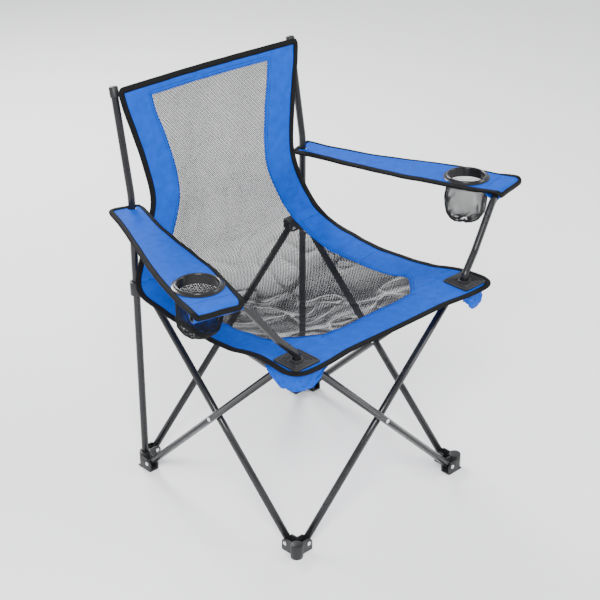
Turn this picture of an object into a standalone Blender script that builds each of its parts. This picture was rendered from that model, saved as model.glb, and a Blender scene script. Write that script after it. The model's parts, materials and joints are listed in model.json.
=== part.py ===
"""Folding camp chair: a square frame of four scissor pairs, two rear posts and two arm tubes.

Units are metres, +Z is up and the chair faces -Y. The origin is under the middle of the
chair's box, on the floor. Every body that moves has an empty on its joint axis.
"""

import math

import bmesh
import bpy
from mathutils import Matrix, Vector

# Frame
CORNER_SPAN = 0.500  # between post axes, across and along
PIN_INSET = 0.032  # from a post axis to a leg pin
PIN_RISE = 0.425  # from the lower leg pins to the upper ones
TUBE_DIAMETER = 0.016
TUBE_WALL = 0.0015
LEG_OVERHANG = 0.012  # of a leg tube past its end pins
CROSS_GAP = 0.002  # between the two tubes of a pair
TUBE_SIDES = 16

# Hubs
HUB_PLATE = 0.0035
HUB_CORE_RADIUS = 0.0135
HUB_CORE_REACH = 0.012  # of the core past the pins, away from the plate
CHEEK_WALL = 0.004
CHEEK_END_RADIUS = 0.010
SLOT_CLEARANCE = 0.0004
SWING_CLEARANCE = 0.0006
BORE_CLEARANCE = 0.0004
FOOT_FLOOR = 0.005  # under a rear post's end

# Rivets and washers
RIVET_RADIUS = 0.0025
RIVET_HEAD_RADIUS = 0.005
RIVET_HEAD_HEIGHT = 0.0018
HOLE_CLEARANCE = 0.0003
WASHER_RADIUS = 0.0065
GAP = 0.0003

# Rear posts
POST_STRAIGHT_HEIGHT = 0.660
POST_TOP_HEIGHT = 0.888
POST_LEAN = math.radians(10)
CAP_RADIUS = 0.0098
CAP_SKIRT = 0.018
CAP_CROWN = 0.004

# Arm tubes, in a vertical plane turned back from straight outwards
ARM_PLANE = math.radians(12)
ARM_SOCKET_DEPTH = 0.020
ARM_RISE = 0.152  # from the corner plate to the top run's axis
ARM_LOW_LEAN = math.radians(45)
ARM_LOW_RISE = 0.042
ARM_HIGH_LEAN = math.radians(38)
ARM_LOW_BEND = 0.020
ARM_TOP_BEND = 0.045
ARM_TOP_LENGTH = 0.112

# Armrests
ARMREST_FRONT_WIDTH = 0.112
ARMREST_REAR_WIDTH = 0.078
ARMREST_THICKNESS = 0.003
ARMREST_LIP = 0.011  # ahead of the tube's axis and behind the post's axis
RING_SETBACK = 0.092  # from the tube's axis to the ring's centre
RING_BORE_RADIUS = 0.040
RING_COLLAR_WALL = 0.003
RING_FLANGE_RADIUS = 0.0515
RING_FLANGE_THICKNESS = 0.004
RING_COLLAR_DEPTH = 0.012
NET_DEPTH = 0.095
NET_WALL = 0.0015
NET_BOTTOM_RADIUS = 0.033
RING_SIDES = 28

# Sling
SLING_THICKNESS = 0.002
CORNER_OVERHANG = 0.052  # of the sling past the post axes at the front corners
CORNER_PLATE_SIZE = 0.068
CORNER_PLATE_THICKNESS = 0.004
CORNER_PLATE_ROUND = 0.004
PANEL_GAP = 0.0012
SLING_CLEARANCE = 0.0014  # over the front hubs
SLING_COLUMNS = 12
POCKET_DROP = 0.048
POCKET_REACH = 0.044
POCKET_INSET = 0.036
POCKET_TAPER = 0.006
POCKET_CLEARANCE = 0.0022  # under the sling, which hangs a little inwards

# Fits worked out from the sizes above
CORNER = CORNER_SPAN / 2
TUBE_RADIUS = TUBE_DIAMETER / 2
LAYER = TUBE_RADIUS + CROSS_GAP / 2  # of a leg's axis from its pair's plane
PIN_RUN = CORNER_SPAN - 2 * PIN_INSET
LEG_LENGTH = math.hypot(PIN_RUN, PIN_RISE)
SWING_RADIUS = math.hypot(LEG_OVERHANG, TUBE_RADIUS) + SWING_CLEARANCE
FOOT_PIN_HEIGHT = SWING_RADIUS + HUB_PLATE
TOP_PIN_HEIGHT = FOOT_PIN_HEIGHT + PIN_RISE
SLOT_HALF = TUBE_RADIUS + SLOT_CLEARANCE
CLEVIS_HALF = SLOT_HALF + CHEEK_WALL
HOLE_RADIUS = RIVET_RADIUS + HOLE_CLEARANCE
HUB_TOP = TOP_PIN_HEIGHT + SWING_RADIUS + HUB_PLATE
CORNER_LEVEL = HUB_TOP + SLING_THICKNESS + SLING_CLEARANCE  # sling's mid surface at a front corner
PLATE_BOTTOM = CORNER_LEVEL + SLING_THICKNESS / 2 + GAP
PLATE_TOP = PLATE_BOTTOM + CORNER_PLATE_THICKNESS
ARM_TOP = PLATE_TOP + ARM_RISE
ARMREST_BOTTOM = ARM_TOP + TUBE_RADIUS + GAP
TOP_LEAN_RUN = (POST_TOP_HEIGHT - POST_STRAIGHT_HEIGHT) * math.tan(POST_LEAN)
REAR_REACH = CORNER + TOP_LEAN_RUN + CAP_CROWN * math.sin(POST_LEAN) + CAP_RADIUS * math.cos(POST_LEAN)
FRONT_REACH = CORNER + CORNER_OVERHANG
FRAME_SHIFT = (FRONT_REACH - REAR_REACH) / 2

# The sling's cross sections, front edge to top: edge point (out, along, up), then middle (along, up)
SLING_SECTIONS = (
    ((CORNER + 0.052, -FRONT_REACH, CORNER_LEVEL), (-FRONT_REACH, CORNER_LEVEL - 0.002)),
    ((CORNER + 0.049, -CORNER + 0.050, CORNER_LEVEL), (-CORNER + 0.050, CORNER_LEVEL - 0.008)),
    ((CORNER + 0.042, -0.100, CORNER_LEVEL - 0.018), (-0.090, CORNER_LEVEL - 0.044)),
    ((CORNER + 0.038, 0.020, CORNER_LEVEL - 0.024), (0.030, CORNER_LEVEL - 0.068)),
    ((CORNER + 0.037, 0.120, CORNER_LEVEL - 0.016), (0.145, CORNER_LEVEL - 0.066)),
    ((CORNER + 0.034, CORNER - 0.048, CORNER_LEVEL + 0.004), (CORNER - 0.032, CORNER_LEVEL - 0.012)),
    ((CORNER, CORNER - 0.022, CORNER_LEVEL + 0.068), (CORNER - 0.012, CORNER_LEVEL + 0.064)),
    ((CORNER - 0.040, CORNER - 0.014, ARM_TOP + 0.016), (CORNER + 0.002, ARM_TOP + 0.016)),
    ((CORNER - 0.028, CORNER - 0.001, ARM_TOP + 0.121), (CORNER + 0.018, ARM_TOP + 0.121)),
    ((CORNER - 0.006, CORNER + 0.013, POST_TOP_HEIGHT - 0.053), (CORNER + 0.034, POST_TOP_HEIGHT - 0.058)),
    ((CORNER + 0.004, CORNER + 0.021, POST_TOP_HEIGHT + 0.004), (CORNER + 0.041, POST_TOP_HEIGHT - 0.002)),
)
BAND_END = 1
FRONT_PANEL_END = 3
REAR_PANEL_END = 5
BACK_END = 10

SCENE_NAME = "folding_camp_chair"


def clear_scene():
    """Remove every object."""
    for old in list(bpy.data.objects):
        bpy.data.objects.remove(old, do_unlink=True)


def make_collection(name):
    """A new collection in the scene."""
    made = bpy.data.collections.new(name)
    bpy.context.scene.collection.children.link(made)
    return made


def finish(name, colour, roughness, metallic):
    """A Principled material of one colour."""
    made = bpy.data.materials.new(name)
    made.use_nodes = True
    shader = made.node_tree.nodes["Principled BSDF"]
    shader.inputs["Base Color"].default_value = (*colour, 1.0)
    shader.inputs["Roughness"].default_value = roughness
    shader.inputs["Metallic"].default_value = metallic
    return made


def shape_from_bmesh(bm, name="shape"):
    """A bmesh as an object that is not a node yet."""
    mesh = bpy.data.meshes.new(name)
    bm.to_mesh(mesh)
    bm.free()
    made = bpy.data.objects.new(name, mesh)
    bpy.context.scene.collection.objects.link(made)
    return made


def evaluated_mesh(shape):
    """The mesh of an object with its modifiers, welded."""
    bpy.context.view_layer.update()
    depsgraph = bpy.context.evaluated_depsgraph_get()
    mesh = bpy.data.meshes.new_from_object(shape.evaluated_get(depsgraph))
    bm = bmesh.new()
    bm.from_mesh(mesh)
    bm.transform(shape.matrix_world)
    bmesh.ops.remove_doubles(bm, verts=bm.verts, dist=0.000001)
    bm.to_mesh(mesh)
    bm.free()
    return mesh


def baked(shape):
    """Replace an object by a plain one with its final mesh, at the origin."""
    mesh = evaluated_mesh(shape)
    bpy.data.objects.remove(shape, do_unlink=True)
    made = bpy.data.objects.new("shape", mesh)
    bpy.context.scene.collection.objects.link(made)
    return made


def combine(shape, tools, operation):
    """Join or cut a shape with each tool in turn, which are used up."""
    for tool in tools:
        modifier = shape.modifiers.new("combine", "BOOLEAN")
        modifier.operation = operation
        modifier.solver = "EXACT"
        modifier.object = tool
        shape = baked(shape)
        bpy.data.objects.remove(tool, do_unlink=True)
    return shape


def box(low, high):
    """A box from its lowest to its highest corner."""
    low, high = Vector(low), Vector(high)
    bm = bmesh.new()
    bmesh.ops.create_cube(bm, size=1.0)
    bm.transform(Matrix.Translation((low + high) / 2) @ Matrix.Diagonal((*(high - low), 1.0)))
    return shape_from_bmesh(bm)


def cylinder(radius, start, end, sides=TUBE_SIDES):
    """A cylinder between two points."""
    start, end = Vector(start), Vector(end)
    turn = (end - start).to_track_quat("Z", "Y").to_matrix().to_4x4()
    bm = bmesh.new()
    bmesh.ops.create_cone(
        bm, cap_ends=True, segments=sides, radius1=radius, radius2=radius, depth=(end - start).length
    )
    bm.transform(Matrix.Translation((start + end) / 2) @ turn)
    return shape_from_bmesh(bm)


def turned(profile, sides):
    """A solid of revolution about Z, from (radius, height) points down its outer side."""
    bm = bmesh.new()
    points = [bm.verts.new((radius, 0.0, height)) for radius, height in profile]
    for start, end in zip(points, points[1:]):
        bm.edges.new((start, end))
    shape = shape_from_bmesh(bm)
    screw = shape.modifiers.new("turn", "SCREW")
    screw.steps = sides
    screw.render_steps = sides
    screw.use_merge_vertices = True
    screw.merge_threshold = 0.00001
    return baked(shape)


def swept_tube(points, radius, resolution=2):
    """A round solid along a path."""
    curve = bpy.data.curves.new("path", "CURVE")
    curve.dimensions = "3D"
    curve.bevel_depth = radius
    curve.bevel_resolution = resolution
    curve.use_fill_caps = True
    spline = curve.splines.new("POLY")
    spline.points.add(len(points) - 1)
    for target, point in zip(spline.points, points):
        target.co = (*point, 1.0)
    path = bpy.data.objects.new("path", curve)
    bpy.context.scene.collection.objects.link(path)
    return baked(path)


def hollow_tube(points):
    """A tube with open ends along a path."""
    tube = swept_tube(points, TUBE_RADIUS, 2)
    first = points[0] + (points[0] - points[1]).normalized() * TUBE_RADIUS
    last = points[-1] + (points[-1] - points[-2]).normalized() * TUBE_RADIUS
    inside = swept_tube([first, *points[1:-1], last], TUBE_RADIUS - TUBE_WALL, 2)
    return combine(tube, [inside], "DIFFERENCE")


def flat_shape(outline, bottom, top):
    """A closed outline in plan, as a solid from one height to another."""
    curve = bpy.data.curves.new("outline", "CURVE")
    curve.dimensions = "2D"
    curve.fill_mode = "BOTH"
    curve.extrude = (top - bottom) / 2
    spline = curve.splines.new("POLY")
    spline.points.add(len(outline) - 1)
    for target, point in zip(spline.points, outline):
        target.co = (point[0], point[1], 0.0, 1.0)
    spline.use_cyclic_u = True
    shape = bpy.data.objects.new("outline", curve)
    bpy.context.scene.collection.objects.link(shape)
    shape.location = (0.0, 0.0, (top + bottom) / 2)
    return baked(shape)


def thick_sheet(rows, thickness, closed=False):
    """A grid of points as a sheet of even thickness."""
    bm = bmesh.new()
    grid = [[bm.verts.new(point) for point in row] for row in rows]
    for near, far in zip(grid, grid[1:]):
        pairs = list(zip(near, near[1:], far, far[1:]))
        if closed:
            pairs.append((near[-1], near[0], far[-1], far[0]))
        for a, b, c, d in pairs:
            bm.faces.new((a, b, d, c))
    bmesh.ops.recalc_face_normals(bm, faces=bm.faces)
    shape = shape_from_bmesh(bm)
    wall = shape.modifiers.new("wall", "SOLIDIFY")
    wall.thickness = thickness
    wall.offset = 0.0
    return baked(shape)


def arc(centre, radius, start, end, steps):
    """Points on an arc in a plane, ends included."""
    turn = (end - start) / steps
    return [
        (centre[0] + radius * math.cos(start + turn * i), centre[1] + radius * math.sin(start + turn * i))
        for i in range(steps + 1)
    ]


def rounded_path(corners, radii, steps=6):
    """A flat path with an arc of the given radius at each inner corner."""
    path = [Vector(corners[0])]
    for before, corner, after, radius in zip(corners, corners[1:], corners[2:], radii):
        corner = Vector(corner)
        into = (corner - Vector(before)).normalized()
        out = (Vector(after) - corner).normalized()
        bend = into.angle(out)
        reach = radius * math.tan(bend / 2)
        start, end = corner - into * reach, corner + out * reach
        for i in range(steps + 1):
            share = i / steps
            angle = bend * share
            along = math.sin(angle) * radius
            aside = (1 - math.cos(angle)) * radius
            side = (out - into * math.cos(bend)).normalized()
            path.append(start + into * along + side * aside if share < 1 else end)
    path.append(Vector(corners[-1]))
    return path


class Chair:
    """The collection that nodes are placed in, and the empties they hang on."""

    def __init__(self):
        self.parts = make_collection(SCENE_NAME)
        self.empties = {}
        self.add_empty("chair_frame", None, (0.0, 0.0, 0.0))
        self.empties["chair_frame"].location = (0.0, FRAME_SHIFT, 0.0)

    def add_empty(self, name, parent, position):
        """An empty at a place in the frame's coordinates."""
        empty = bpy.data.objects.new(name + "_axis", None)
        empty.empty_display_size = 0.02
        self.parts.objects.link(empty)
        empty["place"] = position
        if parent:
            empty.parent = self.empties[parent]
            empty.location = Vector(position) - Vector(self.empties[parent]["place"])
        self.empties[name] = empty

    def add_node(self, name, shape, look, body):
        """Turn a shape in the frame's coordinates into a node of a body."""
        empty = self.empties[body]
        place = Vector(empty["place"])
        shape.data.transform(Matrix.Translation(-place))
        self.add_copy(name, shape.data, look, body, (0.0, 0.0, 0.0), None)
        bpy.data.objects.remove(shape, do_unlink=True)

    def add_copy(self, name, mesh, look, body, position, turn):
        """A node from a mesh, placed relative to its body's empty, or in the frame if it is turned."""
        made = bpy.data.objects.new(name, mesh)
        self.parts.objects.link(made)
        made.parent = self.empties[body]
        if turn is not None:
            place = Vector(self.empties[body]["place"])
            made.location = Vector(position) - place
            made.rotation_euler = turn.to_euler()
        own = finish(name + "_finish", *look)
        if not mesh.materials:
            mesh.materials.append(own)
        made.material_slots[0].link = "OBJECT"
        made.material_slots[0].material = own
        mesh.shade_smooth()
        mesh.set_sharp_from_angle(angle=math.radians(35))


def leg_pin(pair, side, height):
    """A leg end pin's place: pair is front, rear, left or right, side is -1 or 1 along it."""
    along = side * (CORNER - PIN_INSET)
    fixed = {"front": -CORNER, "rear": CORNER, "left": -CORNER, "right": CORNER}[pair]
    if pair in ("front", "rear"):
        return Vector((along, fixed, height))
    return Vector((fixed, along, height))


def outward(pair):
    """The direction out of the chair, across a pair's plane."""
    return {
        "front": Vector((0, -1, 0)),
        "rear": Vector((0, 1, 0)),
        "left": Vector((-1, 0, 0)),
        "right": Vector((1, 0, 0)),
    }[pair]


# Each leg: pair, side of its lower end along the pair, and whether it lies in the outer layer
LEGS = {
    "rear_leg_a": ("rear", -1, True),
    "rear_leg_b": ("rear", 1, False),
    "left_leg_a": ("left", 1, True),
    "left_leg_b": ("left", -1, False),
    "right_leg_a": ("right", 1, True),
    "right_leg_b": ("right", -1, False),
    "front_leg_a": ("front", -1, False),
    "front_leg_b": ("front", 1, True),
}


def leg_axis(name):
    """A leg's lower pin, upper pin and layer offset."""
    pair, side, outer = LEGS[name]
    offset = outward(pair) * (LAYER if outer else -LAYER)
    low = leg_pin(pair, side, FOOT_PIN_HEIGHT) + offset
    high = leg_pin(pair, -side, TOP_PIN_HEIGHT) + offset
    return low, high


def leg_mesh():
    """A leg tube along +Z from its lower pin at the origin, pin holes along Y."""
    tube = cylinder(TUBE_RADIUS, (0, 0, -LEG_OVERHANG), (0, 0, LEG_LENGTH + LEG_OVERHANG))
    reach = TUBE_DIAMETER
    bore = cylinder(TUBE_RADIUS - TUBE_WALL, (0, 0, -reach), (0, 0, LEG_LENGTH + reach), 12)
    holes = [
        cylinder(HOLE_RADIUS, (0, -reach, height), (0, reach, height), 8)
        for height in (0.0, LEG_LENGTH / 2, LEG_LENGTH)
    ]
    tube = combine(tube, [bore, *holes], "DIFFERENCE")
    mesh = tube.data
    bpy.data.objects.remove(tube)
    return mesh


def axis_turn(z_axis, y_axis):
    """The rotation that sends local Z and Y to two directions."""
    z_axis = z_axis.normalized()
    y_axis = (y_axis - z_axis * y_axis.dot(z_axis)).normalized()
    x_axis = y_axis.cross(z_axis)
    return Matrix((x_axis, y_axis, z_axis)).transposed()


def rivet_mesh(grip):
    """A rivet along Z, centred, holding a stack of the given thickness."""
    face = grip / 2 + GAP
    head = face + RIVET_HEAD_HEIGHT
    rim = RIVET_HEAD_RADIUS
    profile = (
        (0.0, head),
        (rim * 0.6, head),
        (rim, face + RIVET_HEAD_HEIGHT * 0.4),
        (rim, face),
        (RIVET_RADIUS, face),
        (RIVET_RADIUS, -face),
        (rim, -face),
        (rim, -face - RIVET_HEAD_HEIGHT * 0.4),
        (rim * 0.6, -head),
        (0.0, -head),
    )
    shape = turned(profile, 10)
    mesh = shape.data
    bpy.data.objects.remove(shape)
    return mesh


def cheek(along, across, across_centre, inner, pin, plate_side, pin_height):
    """One ear of a clevis, as a plate with a round end below or above the pin."""
    end = pin + CHEEK_END_RADIUS
    steps = 6
    turn = arc((pin, 0.0), CHEEK_END_RADIUS, 0.0, -math.pi / 2, steps)
    outline = [(inner, SWING_RADIUS + HUB_PLATE / 2), (end, SWING_RADIUS + HUB_PLATE / 2)]
    outline += turn + [(inner, -CHEEK_END_RADIUS)]
    shape = flat_shape(outline, -CHEEK_WALL / 2, CHEEK_WALL / 2)
    basis = Matrix((along, Vector((0, 0, plate_side)), across)).transposed().to_4x4()
    middle = across * across_centre + Vector((0, 0, pin_height))
    shape.data.transform(Matrix.Translation(middle) @ basis)
    if basis.determinant() < 0:
        shape.data.flip_normals()
    return shape


def hub_shape(corner, pin_height, plate_side, outer_x, outer_y, bore):
    """A hub at a corner: core, plate and two clevises, plate_side is 1 above the pins, -1 below.

    bore is (from, to) heights relative to the pins, or None for a closed core.
    """
    inward_x = Vector((-corner[0], 0, 0))
    inward_y = Vector((0, -corner[1], 0))
    plate_low = plate_side * SWING_RADIUS
    plate_high = plate_side * (SWING_RADIUS + HUB_PLATE)
    low, high = min(plate_low, plate_high), max(plate_low, plate_high)
    core_far = -plate_side * HUB_CORE_REACH
    core = cylinder(HUB_CORE_RADIUS, (0, 0, pin_height + core_far), (0, 0, pin_height + plate_high), 20)
    pieces = []
    for along, across, outer in ((inward_x, inward_y, outer_x), (inward_y, inward_x, outer_y)):
        centre = -LAYER if outer else LAYER
        reach = PIN_INSET + CHEEK_END_RADIUS
        corners = [across * (centre - CLEVIS_HALF), across * (centre + CLEVIS_HALF) + along * reach]
        lower = [min(corners[0][i], corners[1][i]) for i in range(2)]
        upper = [max(corners[0][i], corners[1][i]) for i in range(2)]
        pieces.append(box((*lower, pin_height + low), (*upper, pin_height + high)))
        near = HUB_CORE_RADIUS * 0.8
        far = near if outer else LAYER + SLOT_HALF
        for side, inner in ((-1, near), (1, far)):
            offset = centre + side * (SLOT_HALF + CHEEK_WALL / 2)
            pieces.append(cheek(along, across, offset, inner, PIN_INSET, plate_side, pin_height))
    shape = combine(core, pieces, "UNION")
    cuts = []
    if bore:
        cuts.append(
            cylinder(TUBE_RADIUS + BORE_CLEARANCE, (0, 0, pin_height + bore[0]), (0, 0, pin_height + bore[1]))
        )
    for along, across in ((inward_x, inward_y), (inward_y, inward_x)):
        middle = along * PIN_INSET + Vector((0, 0, pin_height))
        reach = LAYER + 2 * CLEVIS_HALF
        cuts.append(cylinder(HOLE_RADIUS, middle - across * reach, middle + across * reach, 8))
    shape = combine(shape, cuts, "DIFFERENCE")
    shape.data.transform(Matrix.Translation((corner[0] * CORNER, corner[1] * CORNER, 0)))
    return shape


def corner_name(corner):
    """front_left for (-1, -1), and so on."""
    return ("front" if corner[1] < 0 else "rear") + "_" + ("left" if corner[0] < 0 else "right")


def layer_at(corner, upper):
    """Whether the X-going and the Y-going leg at a hub lie in their outer layers."""
    found = {}
    for pair, side, outer in LEGS.values():
        end = -side if upper else side
        along_x = pair in ("front", "rear")
        place = (end, -1 if pair == "front" else 1) if along_x else (-1 if pair == "left" else 1, end)
        if place == corner:
            found["x" if along_x else "y"] = outer
    return found["x"], found["y"]


# Body of each hub, by corner and height
FOOT_BODIES = {
    (-1, 1): "rear_left_post",
    (1, 1): "rear_right_post",
    (-1, -1): "front_left_foot",
    (1, -1): "front_right_foot",
}
TOP_BODIES = {
    (-1, 1): "slider_left",
    (1, 1): "slider_right",
    (-1, -1): "front_left_hub",
    (1, -1): "front_right_hub",
}


def hinge_tree():
    """Each body's parent and the place of its joint, parents first."""
    middle = {name: sum(leg_axis(name), Vector()) / 2 for name in LEGS}
    low = {name: leg_axis(name)[0] for name in LEGS}
    high = {name: leg_axis(name)[1] for name in LEGS}
    shoulder = {side: arm_point(side, *arm_profile()[-1]) for side in (-1, 1)}
    front_crease = (0.0, -CORNER + 0.050, CORNER_LEVEL)
    rear_crease = (0.0, CORNER - 0.032, CORNER_LEVEL - 0.012)
    return (
        ("rear_left_post", "chair_frame", (-CORNER, CORNER, 0.0)),
        ("rear_leg_a", "rear_left_post", low["rear_leg_a"]),
        ("rear_leg_b", "rear_leg_a", middle["rear_leg_b"]),
        ("slider_left", "rear_leg_b", high["rear_leg_b"]),
        ("rear_right_post", "rear_leg_b", low["rear_leg_b"]),
        ("slider_right", "rear_leg_a", high["rear_leg_a"]),
        ("left_leg_a", "rear_left_post", low["left_leg_a"]),
        ("left_leg_b", "left_leg_a", middle["left_leg_b"]),
        ("front_left_foot", "left_leg_b", low["left_leg_b"]),
        ("front_left_hub", "left_leg_a", high["left_leg_a"]),
        ("right_leg_a", "rear_right_post", low["right_leg_a"]),
        ("right_leg_b", "right_leg_a", middle["right_leg_b"]),
        ("front_right_foot", "right_leg_b", low["right_leg_b"]),
        ("front_right_hub", "right_leg_a", high["right_leg_a"]),
        ("front_leg_a", "front_left_foot", low["front_leg_a"]),
        ("front_leg_b", "front_leg_a", middle["front_leg_b"]),
        ("left_arm", "front_left_hub", (-CORNER, -CORNER, TOP_PIN_HEIGHT)),
        ("right_arm", "front_right_hub", (CORNER, -CORNER, TOP_PIN_HEIGHT)),
        ("left_armrest", "left_arm", shoulder[-1]),
        ("right_armrest", "right_arm", shoulder[1]),
        ("seat_front", "front_left_hub", front_crease),
        ("seat_rear", "rear_left_post", rear_crease),
    )


def arm_profile():
    """The arm tube's bends as (outward, up) corners."""
    base = PLATE_TOP + 0.012
    low_run = ARM_LOW_RISE * math.tan(ARM_LOW_LEAN)
    high_rise = ARM_TOP - base - ARM_LOW_RISE
    high_run = low_run + high_rise * math.tan(ARM_HIGH_LEAN)
    return (
        (0.0, HUB_TOP - ARM_SOCKET_DEPTH),
        (0.0, base),
        (low_run, base + ARM_LOW_RISE),
        (high_run, ARM_TOP),
        (high_run + ARM_TOP_LENGTH - 0.005, ARM_TOP),
    )


def arm_point(side, out, up):
    """A point in an arm's plane, side is -1 for left."""
    return Vector(
        (side * (CORNER + out * math.cos(ARM_PLANE)), -CORNER + out * math.sin(ARM_PLANE), up)
    )


def arm_shape(side):
    """A bent arm tube from its socket to the end of its top run."""
    path = rounded_path(arm_profile(), (ARM_LOW_BEND, ARM_TOP_BEND, ARM_TOP_BEND))
    return hollow_tube([arm_point(side, *point) for point in path])


def post_shape(side):
    """A rear post, upright to the bend and leaning back above it."""
    corners = (
        (0.0, FOOT_FLOOR + GAP),
        (0.0, POST_STRAIGHT_HEIGHT),
        (TOP_LEAN_RUN, POST_TOP_HEIGHT),
    )
    path = rounded_path(corners, (0.150,))
    return hollow_tube([Vector((side * CORNER, CORNER + back, up)) for back, up in path])


def cap_shape(side):
    """A plastic cap over a post's top end."""
    inner = TUBE_RADIUS + GAP
    profile = (
        (0.0, CAP_CROWN),
        (CAP_RADIUS * 0.8, CAP_CROWN),
        (CAP_RADIUS, CAP_CROWN * 0.5),
        (CAP_RADIUS, -CAP_SKIRT),
        (inner, -CAP_SKIRT),
        (inner, GAP),
        (0.0, GAP),
    )
    shape = turned(profile, TUBE_SIDES)
    tilt = Matrix.Rotation(-POST_LEAN, 4, "X")
    place = Matrix.Translation((side * CORNER, CORNER + TOP_LEAN_RUN, POST_TOP_HEIGHT))
    shape.data.transform(place @ tilt)
    return shape


def armrest_axis(side):
    """An armrest's front middle on the tube's axis, and its rear middle on the post's axis."""
    top_run = arm_profile()[-2][0]
    front = arm_point(side, top_run + ARM_TOP_LENGTH / 2 - 0.002, ARM_TOP)
    rear = Vector((side * (CORNER + 0.012), CORNER, ARM_TOP))
    return front, rear


def ring_centre(side):
    """The cup ring's centre at the armrest's underside."""
    front, rear = armrest_axis(side)
    centre = front + (rear - front).normalized() * RING_SETBACK
    centre.z = ARMREST_BOTTOM
    return centre


def armrest_shape(side):
    """A flat armrest with holes for its cup ring and its post."""
    front, rear = armrest_axis(side)
    along = (rear - front).normalized()
    top_direction = (arm_point(side, 1.0, 0.0) - arm_point(side, 0.0, 0.0)).normalized()
    half_front = ARMREST_FRONT_WIDTH / 2
    half_rear = ARMREST_REAR_WIDTH / 2
    out = Vector((side, 0, 0))
    ahead = front - along * ARMREST_LIP
    beyond = rear + Vector((0, ARMREST_LIP + TUBE_RADIUS, 0))
    widest = front + along * RING_SETBACK
    outline = [
        ahead + top_direction * (half_front - 0.012),
        ahead + top_direction * half_front + along * 0.014,
        widest + out * (half_front + 0.004),
        rear + out * half_rear,
        beyond + out * (half_rear - 0.012),
        beyond - out * (half_rear - 0.012),
        rear - out * half_rear,
        widest - out * (half_front + 0.004),
        ahead - top_direction * half_front + along * 0.014,
        ahead - top_direction * (half_front - 0.012),
    ]
    shape = flat_shape(
        [(p.x, p.y) for p in outline], ARMREST_BOTTOM, ARMREST_BOTTOM + ARMREST_THICKNESS
    )
    centre = ring_centre(side)
    reach = Vector((0, 0, 0.02))
    ring_hole = RING_BORE_RADIUS + RING_COLLAR_WALL + GAP
    cuts = [
        cylinder(ring_hole, centre - reach, centre + reach, RING_SIDES),
        cylinder(TUBE_RADIUS + 0.001, rear - reach - out * 0.012, rear + reach * 2 - out * 0.012),
    ]
    return combine(shape, cuts, "DIFFERENCE")


def ring_shape(side):
    """The cup ring: a flange on the armrest and a collar through it."""
    top = ARMREST_THICKNESS + GAP
    collar = RING_BORE_RADIUS + RING_COLLAR_WALL
    profile = (
        (RING_BORE_RADIUS, top + RING_FLANGE_THICKNESS),
        (RING_FLANGE_RADIUS - 0.002, top + RING_FLANGE_THICKNESS),
        (RING_FLANGE_RADIUS, top + RING_FLANGE_THICKNESS / 2),
        (RING_FLANGE_RADIUS, top),
        (collar, top),
        (collar, -RING_COLLAR_DEPTH),
        (RING_BORE_RADIUS, -RING_COLLAR_DEPTH),
        (RING_BORE_RADIUS, top + RING_FLANGE_THICKNESS),
    )
    shape = turned(profile, RING_SIDES)
    shape.data.transform(Matrix.Translation(ring_centre(side)))
    return shape


def net_shape(side):
    """The mesh cup bag's outer form, open at the top."""
    top = -GAP
    mouth = RING_BORE_RADIUS + RING_COLLAR_WALL + GAP + NET_WALL
    bottom = top - NET_DEPTH
    wall = NET_WALL
    profile = (
        (mouth, top),
        (mouth + 0.001, top - NET_DEPTH * 0.4),
        (mouth - 0.003, bottom + 0.016),
        (NET_BOTTOM_RADIUS, bottom),
        (0.0, bottom - 0.002),
    )
    inner = [(max(radius - wall, 0.0), height + wall) for radius, height in reversed(profile[1:])]
    shape = turned((*profile, *inner, (mouth - wall, top), (mouth, top)), RING_SIDES)
    shape.data.transform(Matrix.Translation(ring_centre(side)))
    return shape


def sling_point(section, across):
    """A point of the sling's mid surface, section from 0 at the front edge, across from -1 to 1."""
    index = min(int(section), len(SLING_SECTIONS) - 2)
    share = section - index
    (edge_a, mid_a), (edge_b, mid_b) = SLING_SECTIONS[index : index + 2]
    edge = Vector(edge_a).lerp(Vector(edge_b), share)
    middle = Vector((0.0, *mid_a)).lerp(Vector((0.0, *mid_b)), share)
    hang = (1 - across * across) ** 2
    y = edge.y + (middle.y - edge.y) * hang
    z = edge.z + (middle.z - edge.z) * hang
    return Vector((edge.x * across, y, z))


def sling_shape(start, end, steps):
    """The sling between two sections, with a small gap at each seam between panels."""
    rows = []
    for i in range(steps + 1):
        section = start + (end - start) * i / steps
        row = [sling_point(section, -1 + 2 * j / SLING_COLUMNS) for j in range(SLING_COLUMNS + 1)]
        rows.append(row)
    for row_index, near_index in ((0, 1), (-1, -2)):
        if row_index == 0 and start == 0:
            continue
        rows[row_index] = [
            point + (near - point).normalized() * PANEL_GAP
            for point, near in zip(rows[row_index], rows[near_index])
        ]
    return thick_sheet(rows, SLING_THICKNESS)


def front_band_shape():
    """The sling's front band, with a hole for each arm tube."""
    shape = sling_shape(0, BAND_END, 3)
    holes = [
        cylinder(
            TUBE_RADIUS + 0.0012,
            (side * CORNER, -CORNER, CORNER_LEVEL - 0.01),
            (side * CORNER, -CORNER, CORNER_LEVEL + 0.01),
        )
        for side in (-1, 1)
    ]
    return combine(shape, holes, "DIFFERENCE")


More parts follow.
